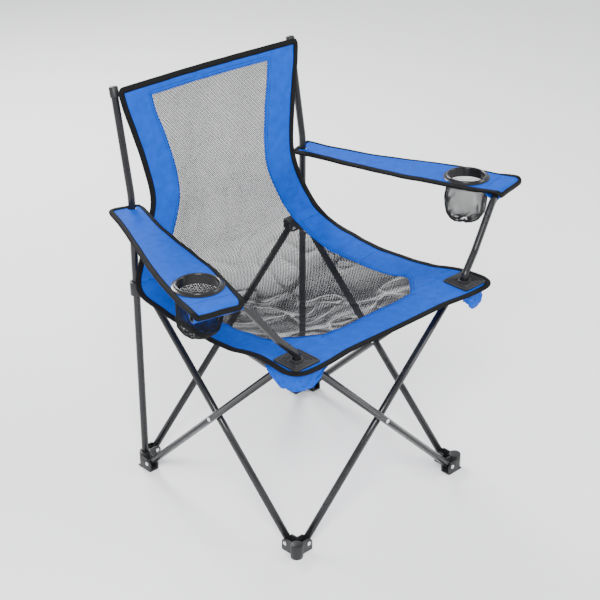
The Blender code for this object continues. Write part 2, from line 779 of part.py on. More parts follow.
def corner_plate_shape(side):
    """The moulded plate on a front corner, with a raised rim and a hole for the arm tube."""
    half = CORNER_PLATE_SIZE / 2
    outline = []
    for turn, (x, y) in enumerate(((1, 1), (-1, 1), (-1, -1), (1, -1))):
        centre = (x * (half - CORNER_PLATE_ROUND), y * (half - CORNER_PLATE_ROUND))
        start = turn * math.pi / 2
        outline += arc(centre, CORNER_PLATE_ROUND, start, start + math.pi / 2, 3)
    shape = flat_shape(outline, PLATE_BOTTOM, PLATE_TOP)
    inset = half - 0.008
    recess = box((-inset, -inset, PLATE_TOP - 0.0012), (inset, inset, PLATE_TOP + 0.01))
    boss = cylinder(TUBE_RADIUS + 0.006, (0, 0, PLATE_BOTTOM + 0.001), (0, 0, PLATE_TOP), 20)
    shape = combine(shape, [recess], "DIFFERENCE")
    shape = combine(shape, [boss], "UNION")
    hole = cylinder(TUBE_RADIUS + 0.0012, (0, 0, PLATE_BOTTOM - 0.01), (0, 0, PLATE_TOP + 0.01))
    shape = combine(shape, [hole], "DIFFERENCE")
    shape.data.transform(Matrix.Translation((side * CORNER, -CORNER, 0)))
    return shape


def pocket_shape(side):
    """The corner pocket's wall, round the outer two sides of a front hub."""
    top = CORNER_LEVEL - SLING_THICKNESS / 2 - POCKET_CLEARANCE
    levels = ((0.0, 0.0), (0.6, POCKET_TAPER * 0.4), (1.0, POCKET_TAPER))
    rows = []
    for drop, taper in levels:
        inset = POCKET_INSET - taper
        reach = POCKET_REACH * (1 - 0.45 * drop)
        bend = arc((-inset + 0.012, -inset + 0.012), 0.012, math.pi, 1.5 * math.pi, 3)
        plan = [(-inset, reach), *bend, (reach, -inset)]
        height = top - POCKET_DROP * drop
        rows.append([Vector((side * (CORNER - x), -CORNER + y, height)) for x, y in plan])
    return thick_sheet(rows, SLING_THICKNESS)


def add_legs(chair, looks):
    """Eight leg tubes, four centre rivets and four spacer washers."""
    mesh = leg_mesh()
    rivet = rivet_mesh(2 * LAYER + TUBE_DIAMETER)
    half = CROSS_GAP / 2 - GAP
    profile = (
        (HOLE_RADIUS, half),
        (WASHER_RADIUS, half),
        (WASHER_RADIUS, -half),
        (HOLE_RADIUS, -half),
        (HOLE_RADIUS, half),
    )
    washer_shape = turned(profile, 12)
    washer = washer_shape.data
    bpy.data.objects.remove(washer_shape)
    for name, (pair, _side, _outer) in LEGS.items():
        low, high = leg_axis(name)
        turn = axis_turn(high - low, outward(pair))
        chair.add_copy(name, mesh, looks["tube"], name, low, turn)
    for pair in ("front", "rear", "left", "right"):
        body = pair + "_leg_a"
        low, high = leg_axis(body)
        pair_plane = outward(pair) * outward(pair).dot((low + high) / 2)
        middle = (low + high) / 2 - pair_plane
        middle += outward(pair) * CORNER
        turn = axis_turn(outward(pair), Vector((0, 0, 1)))
        chair.add_copy(pair + "_cross_rivet", rivet, looks["rivet"], body, middle, turn)
        chair.add_copy(pair + "_cross_washer", washer, looks["hub"], body, middle, turn)


def add_hubs(chair, looks):
    """Four foot hubs, two sliders and two front hubs, with two rivets each."""
    rivet = rivet_mesh(2 * CLEVIS_HALF)
    for upper, bodies in ((False, FOOT_BODIES), (True, TOP_BODIES)):
        pin_height = TOP_PIN_HEIGHT if upper else FOOT_PIN_HEIGHT
        for corner, body in bodies.items():
            rear = corner[1] > 0
            if upper:
                start = -0.05 if rear else SWING_RADIUS + HUB_PLATE - ARM_SOCKET_DEPTH - GAP
                bore = (start, 0.05)
            else:
                bore = (FOOT_FLOOR - FOOT_PIN_HEIGHT, 0.05) if rear else None
            outer_x, outer_y = layer_at(corner, upper)
            shape = hub_shape(corner, pin_height, 1 if upper else -1, outer_x, outer_y, bore)
            kind = ("slider" if rear else "hub") if upper else "foot"
            name = corner_name(corner) + "_" + kind
            chair.add_node(name, shape, looks["hub"], body)
            add_hub_rivets(chair, rivet, looks, corner, pin_height, body, name, (outer_x, outer_y))


def add_hub_rivets(chair, rivet, looks, corner, pin_height, body, name, layers):
    """The rivet of each of a hub's two clevises."""
    place = Vector((corner[0] * CORNER, corner[1] * CORNER, pin_height))
    inward = (Vector((-corner[0], 0, 0)), Vector((0, -corner[1], 0)))
    for label, along, across, outer in (
        ("x", inward[0], inward[1], layers[0]),
        ("y", inward[1], inward[0], layers[1]),
    ):
        centre = place + along * PIN_INSET + across * (-LAYER if outer else LAYER)
        turn = axis_turn(across, Vector((0, 0, 1)))
        chair.add_copy(f"{name}_rivet_{label}", rivet, looks["rivet"], body, centre, turn)


def add_arms(chair, looks):
    """Arm tubes, armrests, cup rings and cup bags."""
    for side, label in ((-1, "left"), (1, "right")):
        chair.add_node(f"arm_tube_{label}", arm_shape(side), looks["tube"], f"{label}_arm")
        body = f"{label}_armrest"
        chair.add_node(f"armrest_{label}", armrest_shape(side), looks["cloth"], body)
        chair.add_node(f"cup_ring_{label}", ring_shape(side), looks["hub"], body)
        chair.add_node(f"cup_net_{label}", net_shape(side), looks["mesh"], body)


def add_posts(chair, looks):
    """Rear posts and their caps."""
    for side, label in ((-1, "left"), (1, "right")):
        body = f"rear_{label}_post"
        chair.add_node(f"rear_post_{label}", post_shape(side), looks["tube"], body)
        chair.add_node(f"post_cap_{label}", cap_shape(side), looks["hub"], body)


def add_sling(chair, looks):
    """The seat and back sling in four panels, its corner plates and its pockets."""
    cloth, mesh = looks["cloth"], looks["mesh"]
    chair.add_node("seat_front_band", front_band_shape(), cloth, "front_left_hub")
    panels = (
        ("seat_front_panel", BAND_END, FRONT_PANEL_END, 4, "seat_front"),
        ("seat_rear_panel", FRONT_PANEL_END, REAR_PANEL_END, 4, "seat_rear"),
        ("seat_back_panel", REAR_PANEL_END, BACK_END, 7, "rear_left_post"),
    )
    for name, start, end, steps, body in panels:
        chair.add_node(name, sling_shape(start, end, steps), mesh, body)
    for side, label in ((-1, "left"), (1, "right")):
        body = f"front_{label}_hub"
        chair.add_node(f"corner_plate_{label}", corner_plate_shape(side), looks["hub"], body)
        chair.add_node(f"corner_pocket_{label}", pocket_shape(side), cloth, body)


def main():
    """Build the chair."""
    clear_scene()
    chair = Chair()
    for body, parent, place in hinge_tree():
        chair.add_empty(body, parent, place)
    looks = {
        "tube": ((0.012, 0.012, 0.013), 0.3, 0.4),
        "hub": ((0.015, 0.015, 0.016), 0.5, 0.0),
        "rivet": ((0.55, 0.55, 0.56), 0.3, 1.0),
        "cloth": ((0.01, 0.13, 0.55), 0.8, 0.0),
        "mesh": ((0.02, 0.02, 0.022), 0.8, 0.0),
    }
    add_posts(chair, looks)
    add_legs(chair, looks)
    add_hubs(chair, looks)
    add_arms(chair, looks)
    add_sling(chair, looks)


main()
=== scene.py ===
"""Studio scene of the folding camp chair, built on the CAD frame."""

import json
import logging
import math
from dataclasses import dataclass, field
from enum import Enum
from functools import cached_property
from typing import Iterable, Sequence

import bmesh
import bpy
import numpy as np
from bpy.types import Material, Mesh, Node, NodeSocket, NodeTree, Object
from mathutils import Matrix, Vector, noise

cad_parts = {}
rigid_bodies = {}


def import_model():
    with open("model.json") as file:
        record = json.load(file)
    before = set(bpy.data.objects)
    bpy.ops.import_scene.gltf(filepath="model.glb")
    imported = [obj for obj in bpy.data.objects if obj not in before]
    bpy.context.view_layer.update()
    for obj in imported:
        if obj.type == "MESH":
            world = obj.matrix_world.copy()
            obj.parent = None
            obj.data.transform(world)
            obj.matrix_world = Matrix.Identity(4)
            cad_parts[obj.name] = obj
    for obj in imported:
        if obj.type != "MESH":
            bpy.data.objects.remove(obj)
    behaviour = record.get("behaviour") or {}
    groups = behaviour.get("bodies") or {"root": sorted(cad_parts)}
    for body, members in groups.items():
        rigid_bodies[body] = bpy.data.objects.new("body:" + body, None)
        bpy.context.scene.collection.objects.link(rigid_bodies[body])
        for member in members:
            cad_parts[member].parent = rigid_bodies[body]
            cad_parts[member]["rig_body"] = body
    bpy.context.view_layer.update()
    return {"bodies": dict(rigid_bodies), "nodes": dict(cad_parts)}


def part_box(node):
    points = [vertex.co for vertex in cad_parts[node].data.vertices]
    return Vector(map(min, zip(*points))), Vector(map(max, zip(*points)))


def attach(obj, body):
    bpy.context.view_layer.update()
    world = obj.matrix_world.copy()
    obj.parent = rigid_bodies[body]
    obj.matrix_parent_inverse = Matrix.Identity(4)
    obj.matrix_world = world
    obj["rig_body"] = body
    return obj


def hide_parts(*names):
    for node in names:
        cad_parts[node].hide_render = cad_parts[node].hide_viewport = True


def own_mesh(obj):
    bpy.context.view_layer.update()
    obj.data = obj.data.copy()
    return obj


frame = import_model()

logging.basicConfig(level=logging.INFO, format="%(message)s")
log = logging.getLogger("camp_chair")

CAMERA_AZIMUTH = -44.0
CAMERA_ELEVATION = 27.0
CAMERA_DISTANCE = 3.25
CAMERA_LENS = 90.0
AIM = Vector((0.0, 0.0, 0.42))  # of the camera and the lights
CORNER = 0.250
FRONT_HALF = 0.302  # half the width of the sling's front edge
ROOT = "rear_left_post"
BORDER_CLOTH, MESH_CLOTH, ARM_CLOTH, SLEEVE_CLOTH, POCKET_CLOTH = 0.0015, 0.0007, 0.0026, 0.0009, 0.0011
STITCH_CIRCLE = 0.0487  # radius of the cup ring's stitches


class Finish(Enum):
    """The finishes of the chair's pieces, by material name."""

    CLOTH = "blue_weave"
    NET = "black_mesh"
    BINDING = "black_binding"
    THREAD = "black_thread"
    CORD = "net_cord"
    TUBE = "powder_coat"
    PLASTIC = "satin_plastic"
    GLOSS = "gloss_plastic"
    STEEL = "bright_steel"


class Axis(Enum):
    """The row axes as unit vectors."""

    X = (1.0, 0.0, 0.0)
    Z = (0.0, 0.0, 1.0)


# ---------------------------------------------------------------- shader helpers


@dataclass
class Graph:
    """A node tree with short calls for adding and joining nodes."""

    tree: NodeTree

    def node(self, kind: str, **settings: object) -> Node:
        """Add a node and set its properties."""
        made = self.tree.nodes.new(kind)
        for name, value in settings.items():
            setattr(made, name, value)
        return made

    def join(self, source: NodeSocket, target: NodeSocket) -> None:
        """Link two sockets."""
        self.tree.links.new(source, target)

    def join_all(self, *pairs: tuple[NodeSocket, NodeSocket]) -> None:
        """Link sockets in pairs."""
        for source, target in pairs:
            self.join(source, target)

    def math(self, operation: str, first: object, second: object = 0.0) -> NodeSocket:
        """A maths node.

        Args:
            operation: The operation's name.
            first: A socket or a number.
            second: A socket or a number.

        Returns:
            The node's output.
        """
        made = self.node("ShaderNodeMath", operation=operation)
        for socket, value in zip(made.inputs, (first, second)):
            if isinstance(value, NodeSocket):
                self.join(value, socket)
            else:
                socket.default_value = value
        return made.outputs[0]

    def noise(self, vector: NodeSocket, scale: float, detail: float = 2.0) -> NodeSocket:
        """A noise texture's value."""
        made = self.node("ShaderNodeTexNoise")
        set_inputs(made, {"Scale": scale, "Detail": detail})
        self.join(vector, made.inputs["Vector"])
        return made.outputs["Fac"]

    def spread(self, value: NodeSocket, low: float, high: float) -> NodeSocket:
        """A value from 0 to 1 as one from low to high."""
        made = self.node("ShaderNodeMapRange")
        set_inputs(made, {"To Min": low, "To Max": high})
        self.join(value, made.inputs["Value"])
        return made.outputs["Result"]

    def tint(self, value: NodeSocket, dark: Sequence[float], light: Sequence[float]) -> NodeSocket:
        """A colour between two, by a value from 0 to 1."""
        made = self.node("ShaderNodeMix", data_type="RGBA")
        self.join(value, made.inputs["Factor"])
        made.inputs[6].default_value = (*dark, 1.0)
        made.inputs[7].default_value = (*light, 1.0)
        return made.outputs[2]

    def bump(self, height: NodeSocket, distance: float, strength: float) -> NodeSocket:
        """A normal from a height."""
        made = self.node("ShaderNodeBump")
        set_inputs(made, {"Distance": distance, "Strength": strength})
        self.join(height, made.inputs["Height"])
        return made.outputs["Normal"]


def new_group(
    name: str, kind: str, inputs: dict[str, str], outputs: dict[str, str]
) -> tuple[NodeTree, Graph]:
    """A node group with sockets.

    Args:
        name: The group's name.
        kind: The tree's type, before "NodeTree".
        inputs: The input sockets' types by name, each before "NodeSocket".
        outputs: The output sockets' types by name.

    Returns:
        The group and its graph.
    """
    group = bpy.data.node_groups.new(name, f"{kind}NodeTree")
    for way, sockets in (("INPUT", inputs), ("OUTPUT", outputs)):
        for label, socket in sockets.items():
            group.interface.new_socket(label, in_out=way, socket_type=f"NodeSocket{socket}")
    return group, Graph(group)


def new_object(name: str, data: bpy.types.ID) -> Object:
    """An object in the scene."""
    made = bpy.data.objects.new(name, data)
    bpy.context.scene.collection.objects.link(made)
    return made


def weave_group() -> NodeTree:
    """Crossed threads: a height from UV metres and a pitch in metres.

    Returns:
        The node group.
    """
    inputs = {"Vector": "Vector", "Pitch": "Float"}
    group, graph = new_group("Crossed threads", "Shader", inputs, {"Height": "Float"})
    source = graph.node("NodeGroupInput")
    parts = graph.node("ShaderNodeSeparateXYZ")
    graph.join(source.outputs["Vector"], parts.inputs[0])
    waves = []
    for axis in (0, 1):
        turns = graph.math("DIVIDE", parts.outputs[axis], source.outputs["Pitch"])
        waves.append(graph.math("SINE", graph.math("MULTIPLY", turns, 2 * math.pi)))
    product = graph.math("MULTIPLY", waves[0], waves[1])
    target = graph.node("NodeGroupOutput")
    graph.join(graph.math("MULTIPLY_ADD", product, 0.5), target.inputs["Height"])
    return group


def holes_group() -> NodeTree:
    """Staggered oblong holes in a knitted mesh: 1 on a thread and 0 in a hole, from UV metres.

    Returns:
        The node group.
    """
    inputs = {"Vector": "Vector", "Pitch": "Float"}
    group, graph = new_group("Oblong holes", "Shader", inputs, {"Thread": "Float", "Edge": "Float"})
    source = graph.node("NodeGroupInput")
    parts = graph.node("ShaderNodeSeparateXYZ")
    graph.join(source.outputs["Vector"], parts.inputs[0])
    rows = graph.math("DIVIDE", parts.outputs[1], graph.math("MULTIPLY", source.outputs["Pitch"], 0.62))
    odd = graph.math("MULTIPLY", graph.math("FLOORED_MODULO", graph.math("FLOOR", rows), 2.0), 0.5)
    columns = graph.math("ADD", graph.math("DIVIDE", parts.outputs[0], source.outputs["Pitch"]), odd)
    along = graph.math("SUBTRACT", graph.math("FRACT", columns), 0.5)
    across = graph.math("SUBTRACT", graph.math("FRACT", rows), 0.5)
    far = graph.math(
        "ADD",
        graph.math("POWER", graph.math("DIVIDE", graph.math("ABSOLUTE", along), 0.33), 2.6),
        graph.math("POWER", graph.math("DIVIDE", graph.math("ABSOLUTE", across), 0.30), 2.2),
    )
    target = graph.node("NodeGroupOutput")
    graph.join(graph.math("GREATER_THAN", far, 1.0), target.inputs["Thread"])
    graph.join(graph.math("MINIMUM", far, 3.0), target.inputs["Edge"])
    return group


@dataclass(frozen=True)
class Paint:
    """A hard finish: a colour, its gloss and a fine grain, with dust and faint rubbing."""

    name: Finish
    dark: tuple[float, float, float]
    light: tuple[float, float, float]
    roughness: tuple[float, float]
    grain: float
    grain_depth: float
    metallic: float = 0.0
    coat: float = 0.0

    def build(self) -> Material:
        """Make the material."""
        made, graph, shader = new_material(self.name)
        place = graph.node("ShaderNodeTexCoord").outputs["Object"]
        wear = graph.noise(place, 38.0, 6.0)
        graph.join(graph.tint(wear, self.dark, self.light), shader.inputs["Base Color"])
        graph.join(graph.spread(wear, *self.roughness), shader.inputs["Roughness"])
        height = graph.noise(place, self.grain, 3.0)
        graph.join(graph.bump(height, self.grain_depth, 0.35), shader.inputs["Normal"])
        shine = 0.5 if self.metallic else 0.3
        values = {"Metallic": self.metallic, "Specular IOR Level": shine, "Coat Weight": self.coat}
        set_inputs(shader, {**values, "Coat Roughness": 0.08})
        return made


@dataclass(frozen=True)
class Cloth:
    """A woven finish: crossed threads, soft mottling and a sheen."""

    name: Finish
    dark: tuple[float, float, float]
    light: tuple[float, float, float]
    pitch: float
    depth: float
    roughness: float
    sheen: float
    ribs: bool = False

    def build(self, weave: NodeTree) -> Material:
        """Make the material.

        Args:
            weave: The crossed threads group.

        Returns:
            The material.
        """
        made, graph, shader = new_material(self.name)
        place = graph.node("ShaderNodeTexCoord").outputs["UV"]
        threads = graph.node("ShaderNodeGroup", node_tree=weave)
        threads.inputs["Pitch"].default_value = self.pitch
        graph.join(place, threads.inputs["Vector"])
        height = threads.outputs["Height"]
        if self.ribs:
            parts = graph.node("ShaderNodeSeparateXYZ")
            graph.join(place, parts.inputs[0])
            turns = graph.math("MULTIPLY", parts.outputs[0], 2 * math.pi / (self.pitch * 2.2))
            height = graph.math("ADD", height, graph.math("SINE", turns))
        mottle = graph.noise(place, 55.0, 4.0)
        tone = graph.math("ADD", graph.math("MULTIPLY", height, 0.35), graph.math("MULTIPLY", mottle, 0.75))
        graph.join(graph.tint(tone, self.dark, self.light), shader.inputs["Base Color"])
        creases = graph.math("MULTIPLY", graph.noise(place, 26.0, 3.0), 5.0)
        relief = graph.math("ADD", height, creases)
        graph.join(graph.bump(relief, self.depth, 0.6), shader.inputs["Normal"])
        set_inputs(shader, {"Roughness": self.roughness, "Specular IOR Level": 0.12})
        sheen = {"Sheen Weight": self.sheen, "Sheen Roughness": 0.4, "Sheen Tint": (*self.light, 1.0)}
        set_inputs(shader, sheen)
        return made


def set_inputs(node: Node, values: dict[str, object]) -> None:
    """Set a node's inputs by name."""
    for name, value in values.items():
        node.inputs[name].default_value = value


def new_material(name: Finish) -> tuple[Material, Graph, Node]:
    """A material, its graph and its Principled shader."""
    made = bpy.data.materials.new(name.value)
    made.use_nodes = True
    return made, Graph(made.node_tree), made.node_tree.nodes["Principled BSDF"]


def mesh_material(holes: NodeTree) -> Material:
    """The open black knit of the seat and back.

    Args:
        holes: The oblong holes group.

    Returns:
        The material.
    """
    made, graph, shader = new_material(Finish.NET)
    place = graph.node("ShaderNodeTexCoord").outputs["UV"]
    knit = graph.node("ShaderNodeGroup", node_tree=holes)
    knit.inputs["Pitch"].default_value = 0.0044
    graph.join(place, knit.inputs["Vector"])
    black = (0.005, 0.005, 0.006, 1.0)
    set_inputs(shader, {"Base Color": black, "Roughness": 0.55, "Specular IOR Level": 0.25})
    graph.join(graph.bump(knit.outputs["Edge"], 0.0004, 0.5), shader.inputs["Normal"])
    clear = graph.node("ShaderNodeBsdfTransparent")
    mixed = graph.node("ShaderNodeMixShader")
    graph.join(knit.outputs["Thread"], mixed.inputs[0])
    graph.join(clear.outputs[0], mixed.inputs[1])
    graph.join(shader.outputs[0], mixed.inputs[2])
    output = made.node_tree.nodes["Material Output"]
    graph.join(mixed.outputs[0], output.inputs["Surface"])
    return made


def build_finishes() -> dict[Finish, Material]:
    """Every material of the chair."""
    weave, holes = weave_group(), holes_group()
    blue = ((0.0005, 0.036, 0.27), (0.0015, 0.085, 0.56))
    black = ((0.0015, 0.0015, 0.002), (0.007, 0.007, 0.0075))
    cloths = (
        Cloth(Finish.CLOTH, *blue, 0.0011, 0.00022, 0.72, 0.08),
        Cloth(Finish.BINDING, *black, 0.0010, 0.0003, 0.7, 0.03, ribs=True),
        Cloth(Finish.THREAD, *black, 0.0006, 0.0001, 0.6, 0.03),
        Cloth(Finish.CORD, *black, 0.0006, 0.0001, 0.5, 0.03),
    )
    tube = ((0.007, 0.007, 0.008), (0.014, 0.014, 0.015))
    plastic = ((0.010, 0.010, 0.011), (0.022, 0.022, 0.023))
    gloss = ((0.007, 0.007, 0.008), (0.013, 0.013, 0.014))
    steel = ((0.5, 0.5, 0.51), (0.78, 0.78, 0.79))
    paints = (
        Paint(Finish.TUBE, *tube, (0.2, 0.34), 900.0, 0.00003, coat=0.12),
        Paint(Finish.PLASTIC, *plastic, (0.36, 0.52), 700.0, 0.00006),
        Paint(Finish.GLOSS, *gloss, (0.16, 0.28), 300.0, 0.00002, coat=0.2),
        Paint(Finish.STEEL, *steel, (0.2, 0.38), 500.0, 0.00003, metallic=1.0),
    )
    made = {cloth.name: cloth.build(weave) for cloth in cloths}
    made.update({paint.name: paint.build() for paint in paints})
    made[Finish.NET] = mesh_material(holes)
    return made


# ---------------------------------------------------------------- mesh helpers


@dataclass
class Workshop:
    """The materials, and the ways in which pieces are made and placed."""

    finishes: dict[Finish, Material]
    made: list[str] = field(default_factory=list)

    def place(self, name: str, mesh: Mesh, finish: Finish, body: str, slot: str) -> Object:
        """Put a mesh in the scene as a piece of a body.

        Args:
            name: The piece's name.
            mesh: Its mesh, in the row frame.
            finish: Its finish.
            body: The CAD body that it rides on.
            slot: The record's material slot; not used.

        Returns:
            The new object.
        """
        mesh.name = name
        mesh.materials.clear()
        mesh.materials.append(self.finishes[finish])
        piece = new_object(name, mesh)
        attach(piece, body)
        self.made.append(name)
        log.info("%s: %d faces, rides %s", name, len(mesh.polygons), body)
        return piece


def mesh_from(
    points: Sequence[Sequence[float]],
    faces: Iterable[Sequence[int]],
    uvs: Sequence[Sequence[float]] | None = None,
    edges: Iterable[Sequence[int]] = (),
) -> Mesh:
    """A mesh from points and faces.

    Args:
        points: The vertices.
        faces: The faces, as vertex indices.
        uvs: A UV pair for each vertex.
        edges: Loose edges.

    Returns:
        The mesh.
    """
    mesh = bpy.data.meshes.new("mesh")
    mesh.from_pydata([tuple(p) for p in points], list(edges), [tuple(f) for f in faces])
    if uvs is not None:
        layer = mesh.uv_layers.new(name="UVMap")
        table = np.asarray(uvs, float)
        index = np.empty(len(mesh.loops), int)
        mesh.loops.foreach_get("vertex_index", index)
        layer.data.foreach_set("uv", table[index].ravel())
    mesh.shade_smooth()
    return mesh


def grid_faces(rows: int, columns: int, closed: bool = False) -> list[tuple[int, int, int, int]]:
    """The faces of a grid of points, row by row."""
    wide = columns if closed else columns - 1
    found = []
    for row in range(rows - 1):
        for column in range(wide):
            after = (column + 1) % columns
            low, high = row * columns, (row + 1) * columns
            found.append((low + column, low + after, high + after, high + column))
    return found


def joining_faces(last: int, columns: int) -> list[tuple[int, int, int, int]]:
    """The faces from a closed grid's last row, which starts at last, back to its first."""
    return [(last + k, last + (k + 1) % columns, (k + 1) % columns, k) for k in range(columns)]


def outward(mesh: Mesh) -> Mesh:
    """The same mesh with its faces turned outwards."""
    bm = bmesh.new()
    bm.from_mesh(mesh)
    bmesh.ops.recalc_face_normals(bm, faces=bm.faces)
    bm.to_mesh(mesh)
    bm.free()
    return mesh


def evaluated(mesh: Mesh, kind: str, inputs: dict[str, object] | None = None, **settings: object) -> Mesh:
    """A mesh after a modifier.

    Args:
        mesh: The mesh to start from.
        kind: The modifier's type.
        inputs: A node tree's inputs by socket identifier.
        **settings: The modifier's properties.

    Returns:
        The plain result.
    """
    holder = new_object("holder", mesh)
    modifier = holder.modifiers.new(kind.lower(), kind)
    for name, value in settings.items():
        setattr(modifier, name, value)
    for identifier, value in (inputs or {}).items():
        modifier[identifier] = value
    bpy.context.view_layer.update()
    depsgraph = bpy.context.evaluated_depsgraph_get()
    result = bpy.data.meshes.new_from_object(holder.evaluated_get(depsgraph))
    bpy.data.objects.remove(holder)
    return result


def thickened(mesh: Mesh, thickness: float) -> Mesh:
    """A surface as a sheet of even thickness."""
    return outward(evaluated(mesh, "SOLIDIFY", thickness=thickness, offset=0.0))


def cut_out(mesh: Mesh, tools: Sequence[Mesh]) -> Mesh:
    """A solid with other solids cut out of it."""
    for tool in tools:
        cutter = new_object("cutter", tool)
        mesh = evaluated(mesh, "BOOLEAN", operation="DIFFERENCE", solver="EXACT", object=cutter)
        bpy.data.objects.remove(cutter)
    return mesh


def between(mesh: Mesh, low: float | None, high: float | None, cap: bool = False) -> Mesh:
    """The part of a mesh between two depths along Y.

    Args:
        mesh: The whole mesh, which isn't changed.
        low: The lowest depth kept, or None.
        high: The highest depth kept, or None.
        cap: Whether cut ends are closed.

    Returns:
        The part.
    """
    bm = bmesh.new()
    bm.from_mesh(mesh)
    for depth, normal in ((low, -1.0), (high, 1.0)):
        if depth is None:
            continue
        parts = [*bm.verts, *bm.edges, *bm.faces]
        bmesh.ops.bisect_plane(
            bm, geom=parts, plane_co=(0, depth, 0), plane_no=(0, normal, 0), clear_outer=True
        )
    if cap:
        bmesh.ops.holes_fill(bm, edges=[e for e in bm.edges if e.is_boundary])
        bmesh.ops.recalc_face_normals(bm, faces=bm.faces)
    part = bpy.data.meshes.new("part")
    bm.to_mesh(part)
    bm.free()
    part.shade_smooth()
    return part


def lathe(profile: Sequence[tuple[float, float]], sides: int, closed: bool = False) -> Mesh:
    """A solid of revolution about Z.

    Args:
        profile: (radius, height) points; the ends lie on the axis unless it is closed.
        sides: The number of sides.
        closed: Whether the profile is a loop clear of the axis.

    Returns:
        The mesh.
    """
    loop = list(profile) + ([profile[0]] if closed else [])
    points, uvs, along = [], [], 0.0
    for index, (radius, height) in enumerate(loop):
        if index:
            along += math.dist(loop[index - 1], loop[index])
        for side in range(sides):
            angle = 2 * math.pi * side / sides
            points.append((radius * math.cos(angle), radius * math.sin(angle), height))
            uvs.append((angle * 0.05, along))
    mesh = mesh_from(points, grid_faces(len(loop), sides, closed=True), uvs)
    return welded(mesh)


def welded(mesh: Mesh, reach: float = 0.000002) -> Mesh:
    """The mesh with doubled points merged and faces turned outwards."""
    bm = bmesh.new()
    bm.from_mesh(mesh)
    bmesh.ops.remove_doubles(bm, verts=bm.verts, dist=reach)
    bmesh.ops.dissolve_degenerate(bm, edges=bm.edges, dist=reach)
    bmesh.ops.recalc_face_normals(bm, faces=bm.faces)
    bm.to_mesh(mesh)
    bm.free()
    return mesh


def sharpened(mesh: Mesh, degrees: float = 35.0) -> Mesh:
    """Smooth shading with sharp edges over an angle."""
    mesh.shade_smooth()
    mesh.set_sharp_from_angle(angle=math.radians(degrees))
    return mesh


def disc(centre: Vector, radius: float, low: float, high: float, sides: int = 64) -> Mesh:
    """An upright cylinder."""
    profile = ((0.0, high), (radius, high), (radius, low), (0.0, low))
    mesh = lathe(profile, sides)
    mesh.transform(Matrix.Translation((centre.x, centre.y, 0.0)))
    return mesh


def swept(
    path: Sequence[Vector],
    inward: Sequence[Vector],
    normals: Sequence[Vector],
    section: Sequence[tuple[float, float]],
    closed: bool,
) -> Mesh:
    """A section carried along a path.

    Args:
        path: The points.
        inward: The direction into the cloth at each point.
        normals: The cloth's normal at each point.
        section: (inward, normal) offsets round the section.
        closed: Whether the path is a loop.

    Returns:
        The mesh, with UVs in metres along and round it.
    """
    points, uvs, along = [], [], 0.0
    for index, (place, into, up) in enumerate(zip(path, inward, normals)):
        if index:
            along += (place - path[index - 1]).length
        for step, (out, lift) in enumerate(section):
            points.append(place + into * out + up * lift)
            uvs.append((along, step * 0.003))
    rows, columns = len(path), len(section)
    faces = grid_faces(rows, columns, closed=True)
    if closed:
        last = (rows - 1) * columns
        faces += joining_faces(last, columns)
    else:
        faces += [tuple(range(columns)), tuple(range((rows - 1) * columns, rows * columns))]
    return outward(mesh_from(points, faces, uvs))


def binding_section(width: float, lift: float) -> list[tuple[float, float]]:
    """The rounded section of a tape folded over an edge."""
    half = [(width, 0.0007), (width - 0.0007, lift), (width * 0.5, lift * 1.12), (0.0, lift * 0.95)]
    nose = [(-0.0011, lift * 0.5)]
    return [*half, *nose, *[(x, -z) for x, z in reversed([*half, *nose])]]


def stitch_tree() -> NodeTree:
    """Short threads along a line.

    Returns:
        The geometry node tree, with the inputs Spacing, Stitch and Material.
    """
    inputs = {"Geometry": "Geometry", "Spacing": "Float", "Stitch": "Object", "Material": "Material"}
    tree, graph = new_group("Stitch row", "Geometry", inputs, {"Geometry": "Geometry"})
    source = graph.node("NodeGroupInput").outputs
    curve = graph.node("GeometryNodeMeshToCurve")
    spaced = graph.node("GeometryNodeResampleCurve", mode="LENGTH")
    tangent = graph.node("GeometryNodeInputTangent")
    turn = graph.node("FunctionNodeAlignRotationToVector", axis="Z")
    stitch = graph.node("GeometryNodeObjectInfo")
    copies = graph.node("GeometryNodeInstanceOnPoints")
    real = graph.node("GeometryNodeRealizeInstances")
    coat = graph.node("GeometryNodeSetMaterial")
    target = graph.node("NodeGroupOutput")
    graph.join_all(
        (source["Geometry"], curve.inputs["Mesh"]),
        (curve.outputs["Curve"], spaced.inputs["Curve"]),
        (source["Spacing"], spaced.inputs["Length"]),
        (spaced.outputs["Curve"], copies.inputs["Points"]),
        (tangent.outputs["Tangent"], turn.inputs["Vector"]),
        (source["Stitch"], stitch.inputs["Object"]),
        (stitch.outputs["Geometry"], copies.inputs["Instance"]),
        (turn.outputs["Rotation"], copies.inputs["Rotation"]),
        (copies.outputs["Instances"], real.inputs["Geometry"]),
        (real.outputs["Geometry"], coat.inputs["Geometry"]),
        (source["Material"], coat.inputs["Material"]),
        (coat.outputs["Geometry"], target.inputs["Geometry"]),
    )
    return tree


